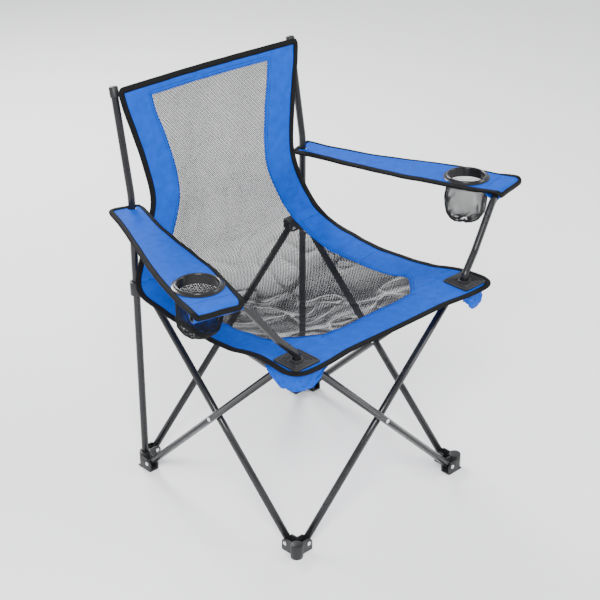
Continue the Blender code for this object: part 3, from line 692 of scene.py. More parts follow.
def net_tree() -> NodeTree:
    """Round cords along the edges of a mesh.

    Returns:
        The geometry node tree, with the inputs Radius and Material.
    """
    inputs = {"Geometry": "Geometry", "Radius": "Float", "Material": "Material"}
    tree, graph = new_group("Net cords", "Geometry", inputs, {"Geometry": "Geometry"})
    source = graph.node("NodeGroupInput").outputs
    curve = graph.node("GeometryNodeMeshToCurve")
    ring = graph.node("GeometryNodeCurvePrimitiveCircle")
    ring.inputs["Resolution"].default_value = 5
    sweep = graph.node("GeometryNodeCurveToMesh")
    sweep.inputs["Fill Caps"].default_value = True
    real = graph.node("GeometryNodeRealizeInstances")
    coat = graph.node("GeometryNodeSetMaterial")
    target = graph.node("NodeGroupOutput")
    graph.join_all(
        (source["Geometry"], curve.inputs["Mesh"]),
        (curve.outputs["Curve"], sweep.inputs["Curve"]),
        (source["Radius"], ring.inputs["Radius"]),
        (ring.outputs["Curve"], sweep.inputs["Profile Curve"]),
        (sweep.outputs["Mesh"], real.inputs["Geometry"]),
        (real.outputs["Geometry"], coat.inputs["Geometry"]),
        (source["Material"], coat.inputs["Material"]),
        (coat.outputs["Geometry"], target.inputs["Geometry"]),
    )
    return tree


def run_tree(mesh: Mesh, tree: NodeTree, values: dict[str, object]) -> Mesh:
    """A mesh after a geometry node tree.

    Args:
        mesh: The mesh that it starts from.
        tree: The tree.
        values: Its inputs by name.

    Returns:
        The plain result.
    """
    sockets = [item for item in tree.interface.items_tree if item.in_out == "INPUT" and item.name in values]
    inputs = {item.identifier: values[item.name] for item in sockets}
    return evaluated(mesh, "NODES", inputs, node_group=tree)


@dataclass
class Seamster:
    """Sews rows of stitches."""

    shop: Workshop
    tree: NodeTree
    stitch: Object

    def sew(self, name: str, lines: Sequence[Sequence[Vector]], body: str, spacing: float = 0.0042) -> Object:
        """Stitches along lines.

        Args:
            name: The piece's name.
            lines: The seam lines.
            body: The CAD body that it rides on.
            spacing: From one stitch to the next.

        Returns:
            The piece.
        """
        points, edges = [], []
        for line in lines:
            start = len(points)
            points += line
            edges += [(start + k, start + k + 1) for k in range(len(line) - 1)]
        values = {"Spacing": spacing, "Stitch": self.stitch, "Material": self.shop.finishes[Finish.THREAD]}
        mesh = run_tree(mesh_from(points, (), edges=edges), self.tree, values)
        return self.shop.place(name, mesh, Finish.THREAD, body, "cloth")


def new_seamster(shop: Workshop) -> Seamster:
    """A seamster with one modelled stitch."""
    half, radius = 0.0014, 0.00042
    profile = ((0.0, half), (radius, half * 0.7), (radius, -half * 0.7), (0.0, -half))
    return Seamster(shop, stitch_tree(), new_object("stitch", lathe(profile, 6)))


# ---------------------------------------------------------------- sling


def smooth(value: float, low: float, high: float) -> float:
    """0 below low, 1 above high and smooth between."""
    share = min(max((value - low) / (high - low), 0.0), 1.0)
    return share * share * (3 - 2 * share)


@dataclass(frozen=True)
class Zone:
    """A part of the sling that rides on one body."""

    name: str
    body: str
    nodes: tuple[str, ...]
    low: float | None
    high: float | None


@dataclass
class Sling:
    """The seat and back: one surface from the front edge to the top, in four zones."""

    shift: float
    level: float
    arm: float
    top: float
    sections: np.ndarray = field(init=False)
    lengths: np.ndarray = field(init=False)

    LAST = 10.0
    MESH_FRONT = 0.98
    MESH_TOP = 9.35
    BORDER = 0.084

    def __post_init__(self) -> None:
        """Lay out the cross sections as edge (x, y, z) and middle (y, z)."""
        level, arm, top = self.level, self.arm, self.top
        rows = [
            (0.302, -0.302, level, -0.302, level - 0.002),
            (0.299, -0.200, level, -0.200, level - 0.008),
            (0.292, -0.100, level - 0.018, -0.090, level - 0.044),
            (0.288, 0.020, level - 0.024, 0.030, level - 0.068),
            (0.287, 0.120, level - 0.016, 0.145, level - 0.066),
            (0.284, 0.202, level + 0.004, 0.218, level - 0.012),
            (0.250, 0.228, level + 0.068, 0.238, level + 0.064),
            (0.210, 0.236, arm + 0.016, 0.252, arm + 0.016),
            (0.222, 0.249, arm + 0.121, 0.268, arm + 0.121),
            (0.244, 0.263, top - 0.053, 0.284, top - 0.058),
            (0.254, 0.271, top + 0.004, 0.291, top - 0.002),
        ]
        self.sections = np.array(rows, float)
        self.sections[:, (1, 3)] += self.shift
        steps = np.linspace(0.0, self.LAST, 201)
        line = np.array([self.section(v)[[3, 4]] for v in steps])
        self.lengths = np.concatenate(([0.0], np.cumsum(np.linalg.norm(np.diff(line, axis=0), axis=1))))

    def section(self, v: float) -> np.ndarray:
        """The cross section at v, on a smooth curve through the given ones."""
        v = min(max(v, 0.0), self.LAST)
        index = min(int(v), len(self.sections) - 2)
        t = v - index
        rows = [self.sections[min(max(index + k, 0), len(self.sections) - 1)] for k in (-1, 0, 1, 2)]
        a, b, c, d = rows
        bend, twist = 2 * a - 5 * b + 4 * c - d, 3 * b - a - 3 * c + d
        return 0.5 * (2 * b + (c - a) * t + bend * t**2 + twist * t**3)

    def bare(self, s: float, v: float) -> Vector:
        """A point of the surface without its folds."""
        x, y, z, mid_y, mid_z = self.section(v)
        hang = max(1 - s * s, 0.0) ** 2
        return Vector((x * s, y + (mid_y - y) * hang, z + (mid_z - z) * hang))

    def normal(self, s: float, v: float) -> Vector:
        """The surface's normal, up from the seat and forward from the back."""
        across = self.bare(s + 0.01, v) - self.bare(s - 0.01, v)
        along = self.bare(s, min(v + 0.02, self.LAST)) - self.bare(s, max(v - 0.02, 0.0))
        return across.cross(along).normalized()

    def folds(self, s: float, v: float) -> float:
        """How far soft folds lift the surface."""
        place = self.bare(s, v)
        slack = smooth(1 - abs(s), 0.0, 0.35) * smooth(v, 0.5, 1.6) * (1 - smooth(v, 8.6, 9.8))
        ridge = noise.noise(Vector((place.x * 9, v * 0.9, 3.1)))
        crease = noise.noise(Vector((place.x * 6 + v * 1.3, place.x * 14 - v * 1.1, 7.7)))
        sharp = max(0.0, 0.32 - abs(crease)) ** 2 * 10
        seat = 1 - smooth(v, 4.6, 6.0)
        waves = 0.0016 * noise.noise(Vector((s * 7, v * 2.6, 1.7)))
        return slack * (0.006 * ridge + 0.0045 * sharp * seat) + waves * smooth(v, 0.9, 1.8)

    def point(self, s: float, v: float, lift: float = 0.0) -> Vector:
        """A point of the surface, lifted along its normal."""
        return self.bare(s, v) + self.normal(s, v) * (self.folds(s, v) + lift)

    def uv(self, s: float, v: float) -> tuple[float, float]:
        """Metres across and along the sling."""
        length = float(np.interp(v, np.linspace(0.0, self.LAST, 201), self.lengths))
        return (s * float(self.section(v)[0]), length)

    def outline(self) -> list[tuple[float, float]]:
        """The outer edge as (s, v), from the front's middle to the top's, on the right."""
        path = []
        for k in range(30):
            s = 0.80 * k / 29
            path.append((s, 0.15 * (1 - smooth(s, 0.42, 0.78))))
        radius, depth, tip = 0.052, 0.102, 9.62
        for k in range(1, 13):
            angle = math.pi / 2 * k / 12
            x, y = FRONT_HALF - radius + radius * math.sin(angle), radius - radius * math.cos(angle)
            path.append((x / FRONT_HALF, y / depth))
        for k in range(1, 131):
            v = radius / depth + (tip - radius / depth) * k / 130
            path.append((1.0 - 0.022 * math.exp(-(((v - 1.35) / 0.5) ** 2)), v))
        for k in range(1, 9):
            angle = math.pi / 2 * k / 8
            path.append((0.94 + 0.06 * math.cos(angle), tip + 0.38 * math.sin(angle)))
        return path + [(0.94 * (1 - k / 24), self.LAST) for k in range(1, 25)]

    def mesh_half(self, v: float) -> float:
        """Half the width of the mesh at v, as s."""
        full = 1 - self.BORDER / float(self.section(v)[0])
        front = 0.44 + (full - 0.44) * min(max((v - self.MESH_FRONT) / 0.75, 0.0), 1.0)
        soft = full - 0.25 * (1 - smooth(v, self.MESH_FRONT, 2.1)) * (full - 0.44)
        return min(front, soft)

    def inline(self) -> list[tuple[float, float]]:
        """The mesh's edge as (s, v), with as many points as the outline."""
        path = [(self.mesh_half(self.MESH_FRONT) * k / 29, self.MESH_FRONT) for k in range(30)]
        for k in range(1, 13):
            v = self.MESH_FRONT + 1.12 * k / 12
            path.append((self.mesh_half(v), v))
        start = self.MESH_FRONT + 1.12
        for k in range(1, 131):
            v = start + (self.MESH_TOP - start) * k / 130
            path.append((self.mesh_half(v), v))
        side = self.mesh_half(self.MESH_TOP)
        return path + [(side * (1 - k / 32), self.MESH_TOP) for k in range(1, 33)]

    def round_trip(self, half: list[tuple[float, float]]) -> list[tuple[float, float]]:
        """A half path and its mirror image, as one loop."""
        return half + [(-s, v) for s, v in reversed(half[1:-1])]

    def border(self) -> Mesh:
        """The woven border, between the outline and the mesh."""
        outer, inner = self.round_trip(self.outline()), self.round_trip(self.inline())
        points, uvs, steps = [], [], 14
        for k in range(steps + 1):
            share = k / steps
            for (s0, v0), (s1, v1) in zip(outer, inner):
                s, v = s0 + (s1 - s0) * share, v0 + (v1 - v0) * share
                points.append(self.point(s, v))
                uvs.append(self.uv(s, v))
        return mesh_from(points, grid_faces(steps + 1, len(outer), closed=True), uvs)

    def centre(self) -> Mesh:
        """The open mesh, a little under the border that laps it."""
        rows, columns = 190, 80
        points, uvs = [], []
        for row in range(rows):
            v = self.MESH_FRONT - 0.05 + (self.MESH_TOP + 0.07 - self.MESH_FRONT) * row / (rows - 1)
            half = self.mesh_half(max(v, self.MESH_FRONT)) + 0.012
            for column in range(columns):
                s = half * (2 * column / (columns - 1) - 1)
                edge = max(0.0, abs(s) - half + 0.05) / 0.05
                points.append(self.point(s, v, -0.0012 - 0.0004 * edge))
                uvs.append(self.uv(s, v))
        return mesh_from(points, grid_faces(rows, columns), uvs)

    def edge_frames(
        self, path: list[tuple[float, float]], lift: float
    ) -> tuple[list[Vector], list[Vector], list[Vector]]:
        """Points, inward directions and normals along a closed path of the surface."""
        places = [self.point(s, v, lift) for s, v in path]
        normals = [self.normal(s, v) for s, v in path]
        inward = []
        for index, up in enumerate(normals):
            ahead = places[(index + 1) % len(places)] - places[index - 1]
            inward.append(up.cross(ahead).normalized())
        return places, inward, normals


def zones(sling: Sling) -> tuple[Zone, ...]:
    """The sling's four zones, from the front."""
    shift = sling.shift
    return (
        Zone("front", "front_left_hub", ("seat_front_band",), None, -0.200 + shift),
        Zone("seat_front", "seat_front", ("seat_front_panel",), -0.200 + shift, 0.025 + shift),
        Zone("seat_rear", "seat_rear", ("seat_rear_panel",), 0.025 + shift, 0.210 + shift),
        Zone("back", ROOT, ("seat_back_panel",), 0.210 + shift, None),
    )


def surface_area(mesh: Mesh) -> float:
    """The area of a mesh's faces."""
    return sum(p.area for p in mesh.polygons)


def flat_area(mesh: Mesh) -> tuple[tuple[float, float], float]:
    """The (width, length) of a surface's pattern and its area, from its UVs in metres."""
    layer = np.empty(len(mesh.loops) * 2)
    mesh.uv_layers[0].data.foreach_get("uv", layer)
    pairs = layer.reshape(-1, 2)
    width, length = (pairs.max(axis=0) - pairs.min(axis=0)).tolist()
    return (max(width, 0.02), max(length, 0.02)), surface_area(mesh)


def squash_across(piece: Object) -> None:
    """Give a piece its own copy of its mesh."""
    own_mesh(piece)


def inside(point: Vector, zone: Zone) -> bool:
    """Whether a point is in a zone."""
    return (zone.low is None or point.y >= zone.low) and (zone.high is None or point.y < zone.high)


def runs(points: Sequence[Vector], zone: Zone) -> list[list[Vector]]:
    """The stretches of a closed line that lie in a zone."""
    found: list[list[Vector]] = []
    current: list[Vector] = []
    for place in [*points, points[0]]:
        if inside(place, zone):
            current.append(place)
        elif current:
            found.append(current)
            current = []
    if current:
        found.append(current)
    return [line for line in found if len(line) > 1]


def build_sling(shop: Workshop, seamster: Seamster, sling: Sling) -> None:
    """Border, mesh, binding and stitches in each zone.

    Args:
        shop: Places the pieces.
        seamster: Sews the seams.
        sling: The surface.
    """
    border, centre = sling.border(), sling.centre()
    holes = [disc(Vector((side * CORNER, -CORNER + sling.shift, 0)), 0.0102, 0.4, 0.5) for side in (-1, 1)]
    outline = sling.round_trip(sling.outline())
    tape = swept(*sling.edge_frames(outline, 0.0), binding_section(0.0125, 0.0021), closed=True)
    edge, inward, normals = sling.edge_frames(outline, 0.0)
    hem = [p + i * 0.0104 + n * 0.0022 for p, i, n in zip(edge, inward, normals)]
    seam, into, ups = sling.edge_frames(sling.round_trip(sling.inline()), 0.0)
    rows = [[p - i * reach + n * 0.0010 for p, i, n in zip(seam, into, ups)] for reach in (0.003, 0.009)]
    for zone in zones(sling):
        part = between(border, zone.low, zone.high)
        flat, area = flat_area(part)
        solid = thickened(part, BORDER_CLOTH)
        if zone.low is None:
            solid = sharpened(cut_out(solid, holes))
        cloth = shop.place(f"sling_border_{zone.name}", solid, Finish.CLOTH, zone.body, "cloth")
        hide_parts(*zone.nodes)
        edging = between(tape, zone.low, zone.high, cap=True)
        binding = shop.place(f"sling_binding_{zone.name}", edging, Finish.BINDING, zone.body, "cloth")
        lines = [line for path in (hem, *rows) for line in runs(path, zone)]
        threads = seamster.sew(f"sling_stitches_{zone.name}", lines, zone.body)
        pieces = [cloth, binding, threads]
        part = between(centre, zone.low, zone.high)
        if len(part.polygons) > 60:
            flat, area = flat_area(part)
            solid = thickened(part, MESH_CLOTH)
            mesh = shop.place(f"sling_mesh_{zone.name}", solid, Finish.NET, zone.body, "mesh")
            pieces.append(mesh)
        for piece in pieces:
            squash_across(piece)


# ---------------------------------------------------------------- arms


def side_name(side: int) -> str:
    """The name of the chair's left, -1, or right, 1."""
    return "left" if side < 0 else "right"


@dataclass
class Arm:
    """An armrest with its sleeve, cup ring and net, on one side."""

    side: int
    shift: float
    top: float

    WRAP = 0.0115  # radius on which the cloth turns down round the tube

    @property
    def label(self) -> str:
        """The side's name."""
        return side_name(self.side)

    @property
    def body(self) -> str:
        """The armrest's body."""
        return f"{self.label}_armrest"

    @cached_property
    def ring(self) -> Vector:
        """The middle of the cup ring at the armrest's underside."""
        low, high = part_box(f"cup_ring_{self.label}")
        return Vector(((low[0] + high[0]) / 2, (low[1] + high[1]) / 2, high[2] - 0.0073))

    @cached_property
    def rear(self) -> Vector:
        """The middle of the armrest over the post's axis."""
        return Vector((self.side * (CORNER + 0.012), CORNER + self.shift, self.top))

    @cached_property
    def along(self) -> Vector:
        """The direction from the sleeve to the post."""
        flat = self.rear - self.ring
        flat.z = 0.0
        return flat.normalized()

    @cached_property
    def front(self) -> Vector:
        """The middle of the sleeve on the tube's axis."""
        place = self.ring - self.along * 0.092
        return Vector((place.x, place.y, self.top))

    @cached_property
    def run(self) -> Vector:
        """The direction of the tube's top run, outwards."""
        turn = math.radians(12)
        return Vector((self.side * math.cos(turn), math.sin(turn), 0.0))

    @cached_property
    def length(self) -> float:
        """From the tube's axis to the post's."""
        flat = self.rear - self.front
        flat.z = 0.0
        return flat.length

    def half_width(self, d: float) -> float:
        """Half the armrest's width at a distance behind the tube."""
        front = 0.056 + 0.003 * smooth(d, 0.0, 0.08)
        wide = front + (0.038 - front) * smooth(d, 0.12, self.length * 0.92)
        nose = max(0.0, 1 - max(0.0, 0.004 - d) / 0.024)
        tail = max(0.0, 1 - max(0.0, d - self.length + 0.002) / 0.024)
        taken = [depth * (1 - math.sqrt(1 - (1 - end) ** 2)) for depth, end in ((0.016, nose), (0.012, tail))]
        return wide - taken[0] - taken[1]

    def point(self, u: float, d: float, lift: float = 0.0) -> Vector:
        """A point of the armrest's middle surface: u from -1 to 1 outwards, d behind the tube."""
        turn = smooth(d, -0.017, 0.10)
        square = self.along.cross(Vector((0, 0, self.side))).normalized()
        across = (self.run * (1 - turn) + square * turn).normalized()
        half = self.half_width(d)
        wrap = max(-d, 0.0) / self.WRAP
        droop = -self.WRAP * (1 - math.cos(wrap))
        reach = d if d > 0 else -self.WRAP * math.sin(wrap)
        edge = -0.0035 * abs(u) ** 6 * smooth(d, 0.01, 0.05)
        slack = -0.004 * math.sin(math.pi * min(max((d - 0.15) / (self.length - 0.15), 0.0), 1.0))
        x, y = (self.front[k] + self.along[k] * reach for k in (0, 1))
        place = Vector((x, y, self.top + 0.0101))
        place += across * (u * half)
        ripple = 0.0016 * noise.noise(Vector((place.x * 30, place.y * 17, self.side * 2.0)))
        calm = smooth(math.dist((place.x, place.y), (self.ring.x, self.ring.y)), 0.05, 0.08)
        place.z += droop + edge + slack + ripple * calm + lift
        return place

    def slab(self, start: float, end: float) -> Mesh:
        """The armrest's surface between two distances."""
        rows, columns = max(int((end - start) / 0.004), 8), 30
        points, uvs = [], []
        for row in range(rows):
            d = start + (end - start) * row / (rows - 1)
            for column in range(columns):
                u = 2 * column / (columns - 1) - 1
                points.append(self.point(u, d))
                uvs.append((u * self.half_width(d), d))
        return mesh_from(points, grid_faces(rows, columns), uvs)

    def outline(self, start: float, end: float) -> list[tuple[float, float]]:
        """The (u, d) edge between two distances: round the nose or the tail if it is included."""
        steps = max(int((end - start) / 0.003), 8)
        sides = [start + (end - start) * k / steps for k in range(steps + 1)]
        if start < 0:
            cross = [(1 - 2 * k / 24, start) for k in range(1, 24)]
            return [(1.0, d) for d in reversed(sides)] + cross + [(-1.0, d) for d in sides]
        cross = [(1 - 2 * k / 20, end) for k in range(1, 20)]
        return [(1.0, d) for d in sides] + cross + [(-1.0, d) for d in reversed(sides)]

    def frames(self, path: list[tuple[float, float]]) -> tuple[list[Vector], list[Vector], list[Vector]]:
        """Points, inward directions and normals along an open edge path."""
        places = [self.point(u, d) for u, d in path]
        inward, normals = [], []
        for index, ((u, d), place) in enumerate(zip(path, places)):
            ahead = places[min(index + 1, len(places) - 1)] - places[max(index - 1, 0)]
            across = self.point(min(u + 0.05, 1.0), d) - self.point(max(u - 0.05, -1.0), d)
            along = self.point(u * 0.9, d + 0.002) - self.point(u * 0.9, d - 0.002)
            up = across.cross(along).normalized() * self.side
            side = up.cross(ahead).normalized()
            aim = self.point(u * 0.5, min(max(d, -0.002), self.length - 0.02)) - place
            inward.append(side if side.dot(aim) > 0 else -side)
            normals.append(up)
        return places, inward, normals

    def sleeve(self) -> Mesh:
        """The cloth under the nose that holds the tube."""
        section = [(-0.0090, 0.0030)]
        for k in range(13):
            angle = math.radians(170 + 12.5 * k)
            section.append((0.0097 * math.cos(angle), 0.0097 * math.sin(angle)))
        section += [(0.014, -0.0035), (0.021, 0.0028), (0.028, 0.0072), (0.033, 0.0078)]
        rows, points, uvs = 26, [], []
        for row in range(rows):
            reach = 2 * row / (rows - 1) - 1
            slack = 0.0008 * noise.noise(Vector((row * 0.4, self.side, 5.0)))
            for step, (d, z) in enumerate(section):
                base = self.front + self.run * (reach * 0.0525)
                points.append(base + self.along * d + Vector((0, 0, z + slack)))
                uvs.append((reach * 0.0525, step * 0.004))
        return mesh_from(points, grid_faces(rows, len(section)), uvs)


def build_armrest(shop: Workshop, seamster: Seamster, arm: Arm) -> None:
    """One armrest: cloth in two lengths, sleeve, binding and stitches."""
    split, start, end = 0.170, -0.0190, arm.length + 0.0185
    centre, post = arm.ring, arm.rear - Vector((arm.side * 0.012, 0, 0))
    cuts = {
        "front": disc(centre, 0.0436, arm.top - 0.03, arm.top + 0.05, 96),
        "rear": disc(post, 0.0098, arm.top - 0.03, arm.top + 0.05, 40),
    }
    names = {"front": (start, split), "rear": (split, end)}
    for name, (low, high) in names.items():
        surface = arm.slab(low, high)
        flat, area = flat_area(surface)
        solid = sharpened(cut_out(thickened(surface, ARM_CLOTH), [cuts[name]]), 50)
        cloth = shop.place(f"armrest_{name}_{arm.label}", solid, Finish.CLOTH, arm.body, "cloth")
        path = arm.outline(low, high)
        places, inward, ups = arm.frames(path)
        tape = swept(places, inward, ups, binding_section(0.0105, 0.0027), closed=False)
        binding = shop.place(f"armrest_binding_{name}_{arm.label}", tape, Finish.BINDING, arm.body, "cloth")
        lines = [[p + i * 0.0090 + n * 0.0028 for p, i, n in zip(places, inward, ups)]]
        if name == "front":
            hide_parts(f"armrest_{arm.label}")
            lines.append([arm.point(-0.82 + 1.64 * k / 30, 0.029, 0.0014) for k in range(31)])
        threads = seamster.sew(f"armrest_stitches_{name}_{arm.label}", lines, arm.body)
        pieces = [cloth, binding, threads]
        if name == "rear":
            anchor = arm.point(0.0, split)
            for piece in pieces:
                tuple(arm.along)
                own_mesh(piece)
    surface = arm.sleeve()
    area = surface_area(surface)
    solid = thickened(surface, SLEEVE_CLOTH)
    sleeve = shop.place(f"armrest_sleeve_{arm.label}", solid, Finish.CLOTH, arm.body, "cloth")


def build_ring(shop: Workshop, seamster: Seamster, arm: Arm) -> None:
    """The cup ring: rolled rim, stitched flange and collar."""
    inner, outer, top = 0.040, 0.0515, 0.0071
    profile = [(inner + 0.0002, -0.012), (inner, 0.0), (inner, top - 0.0006)]
    for k in range(9):
        angle = math.pi - math.pi * k / 8
        profile.append((inner + 0.0030 + 0.0030 * math.cos(angle), top + 0.0024 * math.sin(angle)))
    profile += [(inner + 0.0066, top - 0.0016), (outer - 0.0018, top - 0.0022), (outer, top - 0.0032)]
    profile += [(outer, 0.0034), (inner + 0.0028, 0.0034), (inner + 0.0028, -0.012)]
    mesh = sharpened(lathe(profile, 96, closed=True), 40)
    mesh.transform(Matrix.Translation(arm.ring))
    ring = shop.place(f"ring_{arm.label}", mesh, Finish.GLOSS, arm.body, "plastic")
    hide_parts(f"cup_ring_{arm.label}")
    line = []
    for k in range(97):
        angle = 2 * math.pi * k / 96
        across, along = STITCH_CIRCLE * math.cos(angle), STITCH_CIRCLE * math.sin(angle)
        line.append(arm.ring + Vector((across, along, top - 0.0018)))
    seamster.sew(f"ring_stitches_{arm.label}", [line], arm.body, 0.0040)


def build_net(shop: Workshop, tree: NodeTree, arm: Arm) -> None:
    """The knotted hexagonal net under the ring."""
    centre, columns = arm.ring, 58
    profile = [(0.0436, -0.006), (0.0440, -0.020), (0.0456, -0.044), (0.0440, -0.066), (0.0405, -0.083)]
    profile += [(0.034, -0.0925), (0.022, -0.0965), (0.010, -0.0975), (0.0035, -0.0978)]
    radii, heights = np.array(profile).T
    steps = np.concatenate(([0.0], np.cumsum(np.hypot(np.diff(radii), np.diff(heights)))))
    pitch, points, edges, rows = 0.0038, [], [], []
    for row in range(int(steps[-1] / pitch)):
        line = []
        for column in range(2 * columns):
            up = (column + row) % 2
            t = row * pitch + (0.0009 if up else -0.0009)
            radius, height = float(np.interp(t, steps, radii)), float(np.interp(t, steps, heights))
            angle = math.pi * column / columns
            cos, sin = math.cos(angle), math.sin(angle)
            ripple = noise.noise(Vector((cos * 2.3, sin * 2.3, t * 16 + arm.side * 9)))
            pleat = noise.noise(Vector((cos * 5, sin * 5, t * 34 + arm.side * 4)))
            soft = smooth(t, 0.008, 0.05)
            radius *= 1 + soft * (0.10 * ripple + 0.06 * pleat) * min(radius / 0.03, 1.0)
            lift = soft * 0.0035 * pleat + (0.004 * ripple if row > 20 else 0.0)
            line.append(len(points))
            points.append(centre + Vector((radius * cos, radius * sin, height + lift)))
        edges += [(line[k], line[(k + 1) % len(line)]) for k in range(len(line))]
        if rows:
            edges += [(rows[-1][k], line[k]) for k in range(len(line)) if (k + row) % 2 == 0]
        rows.append(line)
    values = {"Radius": 0.00072, "Material": shop.finishes[Finish.CORD]}
    mesh = run_tree(mesh_from(points, (), edges=edges), tree, values)
    net = shop.place(f"net_{arm.label}", mesh, Finish.CORD, arm.body, "mesh")
    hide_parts(f"cup_net_{arm.label}")
    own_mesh(net)


# ---------------------------------------------------------------- corners


def build_plate(shop: Workshop, side: int, shift: float) -> None:
    """The moulded corner plate: nested square ridges round a collar."""
    label = side_name(side)
    low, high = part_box(f"corner_plate_{label}")
    base, top, half = low[2], high[2], (high[0] - low[0]) / 2
    loops = [(half, base, 0.16), (half, top - 0.0012, 0.16)]
    loops += [(half - 0.0012, top, 0.16), (half - 0.0042, top, 0.14)]
    ridges = (
        (0.0052, 0.0016, 0.13), (0.0085, 0.0016, 0.12), (0.0092, 0.0002, 0.12), (0.0112, 0.0002, 0.12),
        (0.0120, 0.0018, 0.12), (0.0150, 0.0018, 0.12), (0.0157, 0.0005, 0.12), (0.0175, 0.0005, 0.12),
        (0.0182, 0.0018, 0.12),
    )
    loops += [(half - inset, top - drop, roundness) for inset, drop, roundness in ridges]
    collar = ((0.0142, -0.0018), (0.0136, 0.0016), (0.0122, 0.0024), (0.0096, 0.0022), (0.0092, 0.0010))
    loops += [(radius, top + lift, 1.0) for radius, lift in collar] + [(0.0092, base, 1.0)]
    sides, points = 96, []
    for reach, height, roundness in loops:
        for k in range(sides):
            angle = 2 * math.pi * (k + 0.5) / sides
            power = 2.0 / max(roundness, 0.05) if roundness < 1 else 2.0
            cos, sin = math.cos(angle), math.sin(angle)
            radius = reach / (abs(cos) ** power + abs(sin) ** power) ** (1 / power)
            points.append((side * CORNER + radius * cos, -CORNER + shift + radius * sin, height))
    faces = grid_faces(len(loops), sides, closed=True)
    last = (len(loops) - 1) * sides
    faces += joining_faces(last, sides)
    mesh = sharpened(outward(mesh_from(points, faces)), 30)
    plate = shop.place(f"plate_{label}", mesh, Finish.PLASTIC, f"front_{label}_hub", "plastic")
    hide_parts(f"corner_plate_{label}")


def build_pocket(shop: Workshop, side: int, shift: float, level: float) -> None:
    """The crumpled cloth pocket round a front hub."""
    label = side_name(side)
    plan, radius, inset, reach = [], 0.026, 0.037, 0.046
    plan += [(-inset, reach - (reach + inset - radius) * k / 16) for k in range(16)]
    for k in range(15):
        angle = math.pi + math.pi / 2 * k / 14
        plan.append((-inset + radius + radius * math.cos(angle), -inset + radius + radius * math.sin(angle)))
    plan += [(-inset + radius + (reach + inset - radius) * k / 16, -inset) for k in range(1, 17)]
    rows, points, uvs = 22, [], []
    for row in range(rows):
        drop = row / (rows - 1)
        for column, (x, y) in enumerate(plan):
            span = column / (len(plan) - 1)
            middle = 1 - abs(2 * span - 1)
            depth = 0.014 + 0.030 * smooth(middle, 0.0, 0.45)
            gather = 1 - 0.16 * drop * smooth(middle, 0.2, 0.9)
            crumple = noise.noise(Vector((span * 9, drop * 2.2, 4.0 + side)))
            fine = noise.noise(Vector((span * 24, drop * 5, 9.0 + side)))
            out = 1 + drop * (0.20 * crumple + 0.13 * fine)
            px, py = x * gather * out, y * gather * out
            z = level - 0.0034 - depth * drop + (0.009 * fine + 0.006 * crumple) * drop
            points.append((side * (CORNER - px), -CORNER + shift + py, z))
            uvs.append((column * 0.004, drop * 0.05))
    surface = mesh_from(points, grid_faces(rows, len(plan)), uvs)
    body = f"front_{label}_hub"
    pocket = shop.place(f"pocket_{label}", thickened(surface, POCKET_CLOTH), Finish.CLOTH, body, "cloth")
    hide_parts(f"corner_pocket_{label}")


# ---------------------------------------------------------------- hard parts


def carry_over(shop: Workshop, node: str, finish: Finish, slot: str, bevel: float) -> None:
    """A welded, lightly bevelled copy of a CAD node in its place.

    Args:
        shop: Places the piece.
        node: The CAD node.
        finish: The copy's finish.
        slot: The record's material slot.
        bevel: The bevel's width, or 0.
    """
    source = frame["nodes"][node]
    mesh = welded(source.data.copy(), 0.00001)
    if bevel:
        edges = {"limit_method": "ANGLE", "angle_limit": math.radians(40), "harden_normals": True}
        mesh = evaluated(sharpened(mesh), "BEVEL", width=bevel, segments=2, **edges)
    piece = shop.place(f"{node}_look", sharpened(mesh), finish, source["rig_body"], slot)
    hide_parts(node)


def build_rivet(shop: Workshop, node: str) -> None:
    """A rivet with domed heads in place of a CAD one."""
    low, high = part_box(node)
    size = [high[k] - low[k] for k in range(3)]
    axis, centre = int(np.argmax(size)), (Vector(low) + Vector(high)) / 2
    face, head = size[axis] / 2 - 0.0018, size[axis] / 2
    dome = []
    for k in range(7):
        angle = math.pi / 2 * (1 - k / 6)
        dome.append((0.0050 * math.cos(angle), face + 0.0004 + (head - face) * math.sin(angle)))
    upper = [*dome, (0.0050, face), (0.0025, face)]
    profile = [*upper, *[(radius, -height) for radius, height in reversed(upper)]]
    mesh = sharpened(lathe(profile, 28))
    turns = (Matrix.Rotation(math.pi / 2, 4, "Y"), Matrix.Rotation(math.pi / 2, 4, "X"), Matrix.Identity(4))
    mesh.transform(Matrix.Translation(centre) @ turns[axis])
    rivet = shop.place(f"{node}_look", mesh, Finish.STEEL, frame["nodes"][node]["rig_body"], "rivet")
    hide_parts(node)


def build_hard_parts(shop: Workshop) -> None:
    """Tubes, hubs, caps, washers and rivets from their CAD nodes."""
    for node in sorted(frame["nodes"]):
        if "_rivet" in node:
            build_rivet(shop, node)
        elif "_leg_" in node or node.startswith(("rear_post", "arm_tube")):
            carry_over(shop, node, Finish.TUBE, "tube", 0.0)
        elif node.endswith(("_foot", "_slider", "_hub")):
            carry_over(shop, node, Finish.PLASTIC, "plastic", 0.0007)
        elif "washer" in node or "cap" in node:
            carry_over(shop, node, Finish.PLASTIC, "plastic", 0.0)


# ---------------------------------------------------------------- studio


def add_light(name: str, place: Sequence[float], size: float, power: float) -> None:
    """A soft square light aimed at the chair."""
    lamp = bpy.data.lights.new(name, "AREA")
    lamp.size = size
    lamp.energy = power
    light = new_object(name, lamp)
    light.location = place
    light.rotation_euler = (AIM - Vector(place)).to_track_quat("-Z", "Y").to_euler()


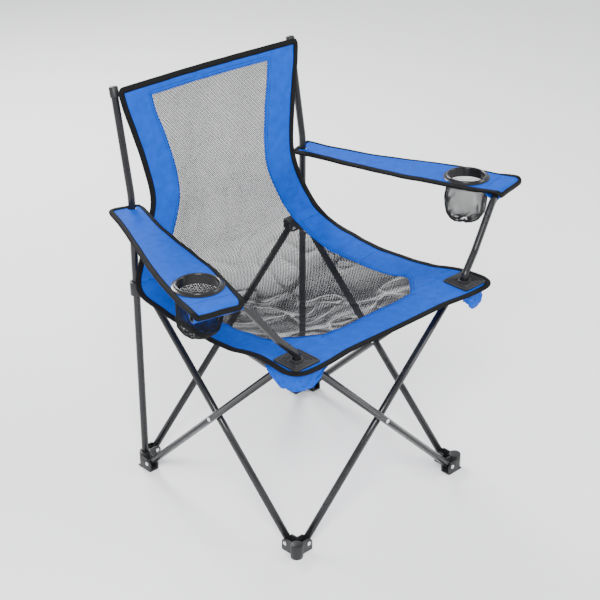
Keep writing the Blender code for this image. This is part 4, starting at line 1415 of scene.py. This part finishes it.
def build_studio() -> None:
    """Pale floor, soft lights and the camera."""
    size = 30.0
    corners = [(-size, -size, 0.0), (size, -size, 0.0), (size, size, 0.0), (-size, size, 0.0)]
    floor_mesh = mesh_from(corners, [(0, 1, 2, 3)])
    material = bpy.data.materials.new("studio_floor")
    material.use_nodes = True
    shader = material.node_tree.nodes["Principled BSDF"]
    set_inputs(shader, {"Base Color": (0.94, 0.94, 0.94, 1.0), "Roughness": 0.85})
    floor_mesh.materials.append(material)
    floor = new_object("studio_floor", floor_mesh)
    floor.location = (0.0, 0.0, -0.0005)
    world = bpy.data.worlds.new("studio")
    world.use_nodes = True
    set_inputs(world.node_tree.nodes["Background"], {"Color": (0.95, 0.97, 1.0, 1.0), "Strength": 1.1})
    bpy.context.scene.world = world
    add_light("key", (-2.2, -2.0, 2.8), 1.4, 190.0)
    add_light("fill", (2.6, -2.4, 1.6), 1.8, 70.0)
    add_light("rim", (0.8, 2.8, 2.4), 1.2, 130.0)
    azimuth, elevation = math.radians(CAMERA_AZIMUTH), math.radians(CAMERA_ELEVATION)
    level = math.cos(elevation)
    back = Vector((math.sin(azimuth) * level, -math.cos(azimuth) * level, math.sin(elevation)))
    lens = bpy.data.cameras.new("camera")
    lens.lens = CAMERA_LENS
    camera = new_object("camera", lens)
    camera.location = AIM + back * CAMERA_DISTANCE
    camera.rotation_euler = (-back).to_track_quat("-Z", "Y").to_euler()
    bpy.context.scene.camera = camera


def clear_defaults() -> None:
    """Remove every object that isn't part of the frame."""
    kept = {*frame["nodes"].values(), *frame["bodies"].values()}
    for old in list(bpy.data.objects):
        if old not in kept:
            bpy.data.objects.remove(old, do_unlink=True)


def main() -> None:
    """Build the chair and its studio."""
    clear_defaults()
    shop = Workshop(build_finishes())
    seamster = new_seamster(shop)
    low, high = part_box("seat_front_band")
    shift = low[1] + FRONT_HALF
    level = high[2] - 0.001
    arm_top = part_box("arm_tube_left")[1][2] - 0.008
    sling = Sling(shift, level, arm_top, 0.888)
    build_sling(shop, seamster, sling)
    nets = net_tree()
    for side in (-1, 1):
        arm = Arm(side, shift, arm_top)
        build_armrest(shop, seamster, arm)
        build_ring(shop, seamster, arm)
        build_net(shop, nets, arm)
        build_plate(shop, side, shift)
        build_pocket(shop, side, shift, level)
    build_hard_parts(shop)
    bpy.data.objects.remove(seamster.stitch)
    build_studio()
    log.info("%d pieces", len(shop.made))


if __name__ == "__main__":
    main()
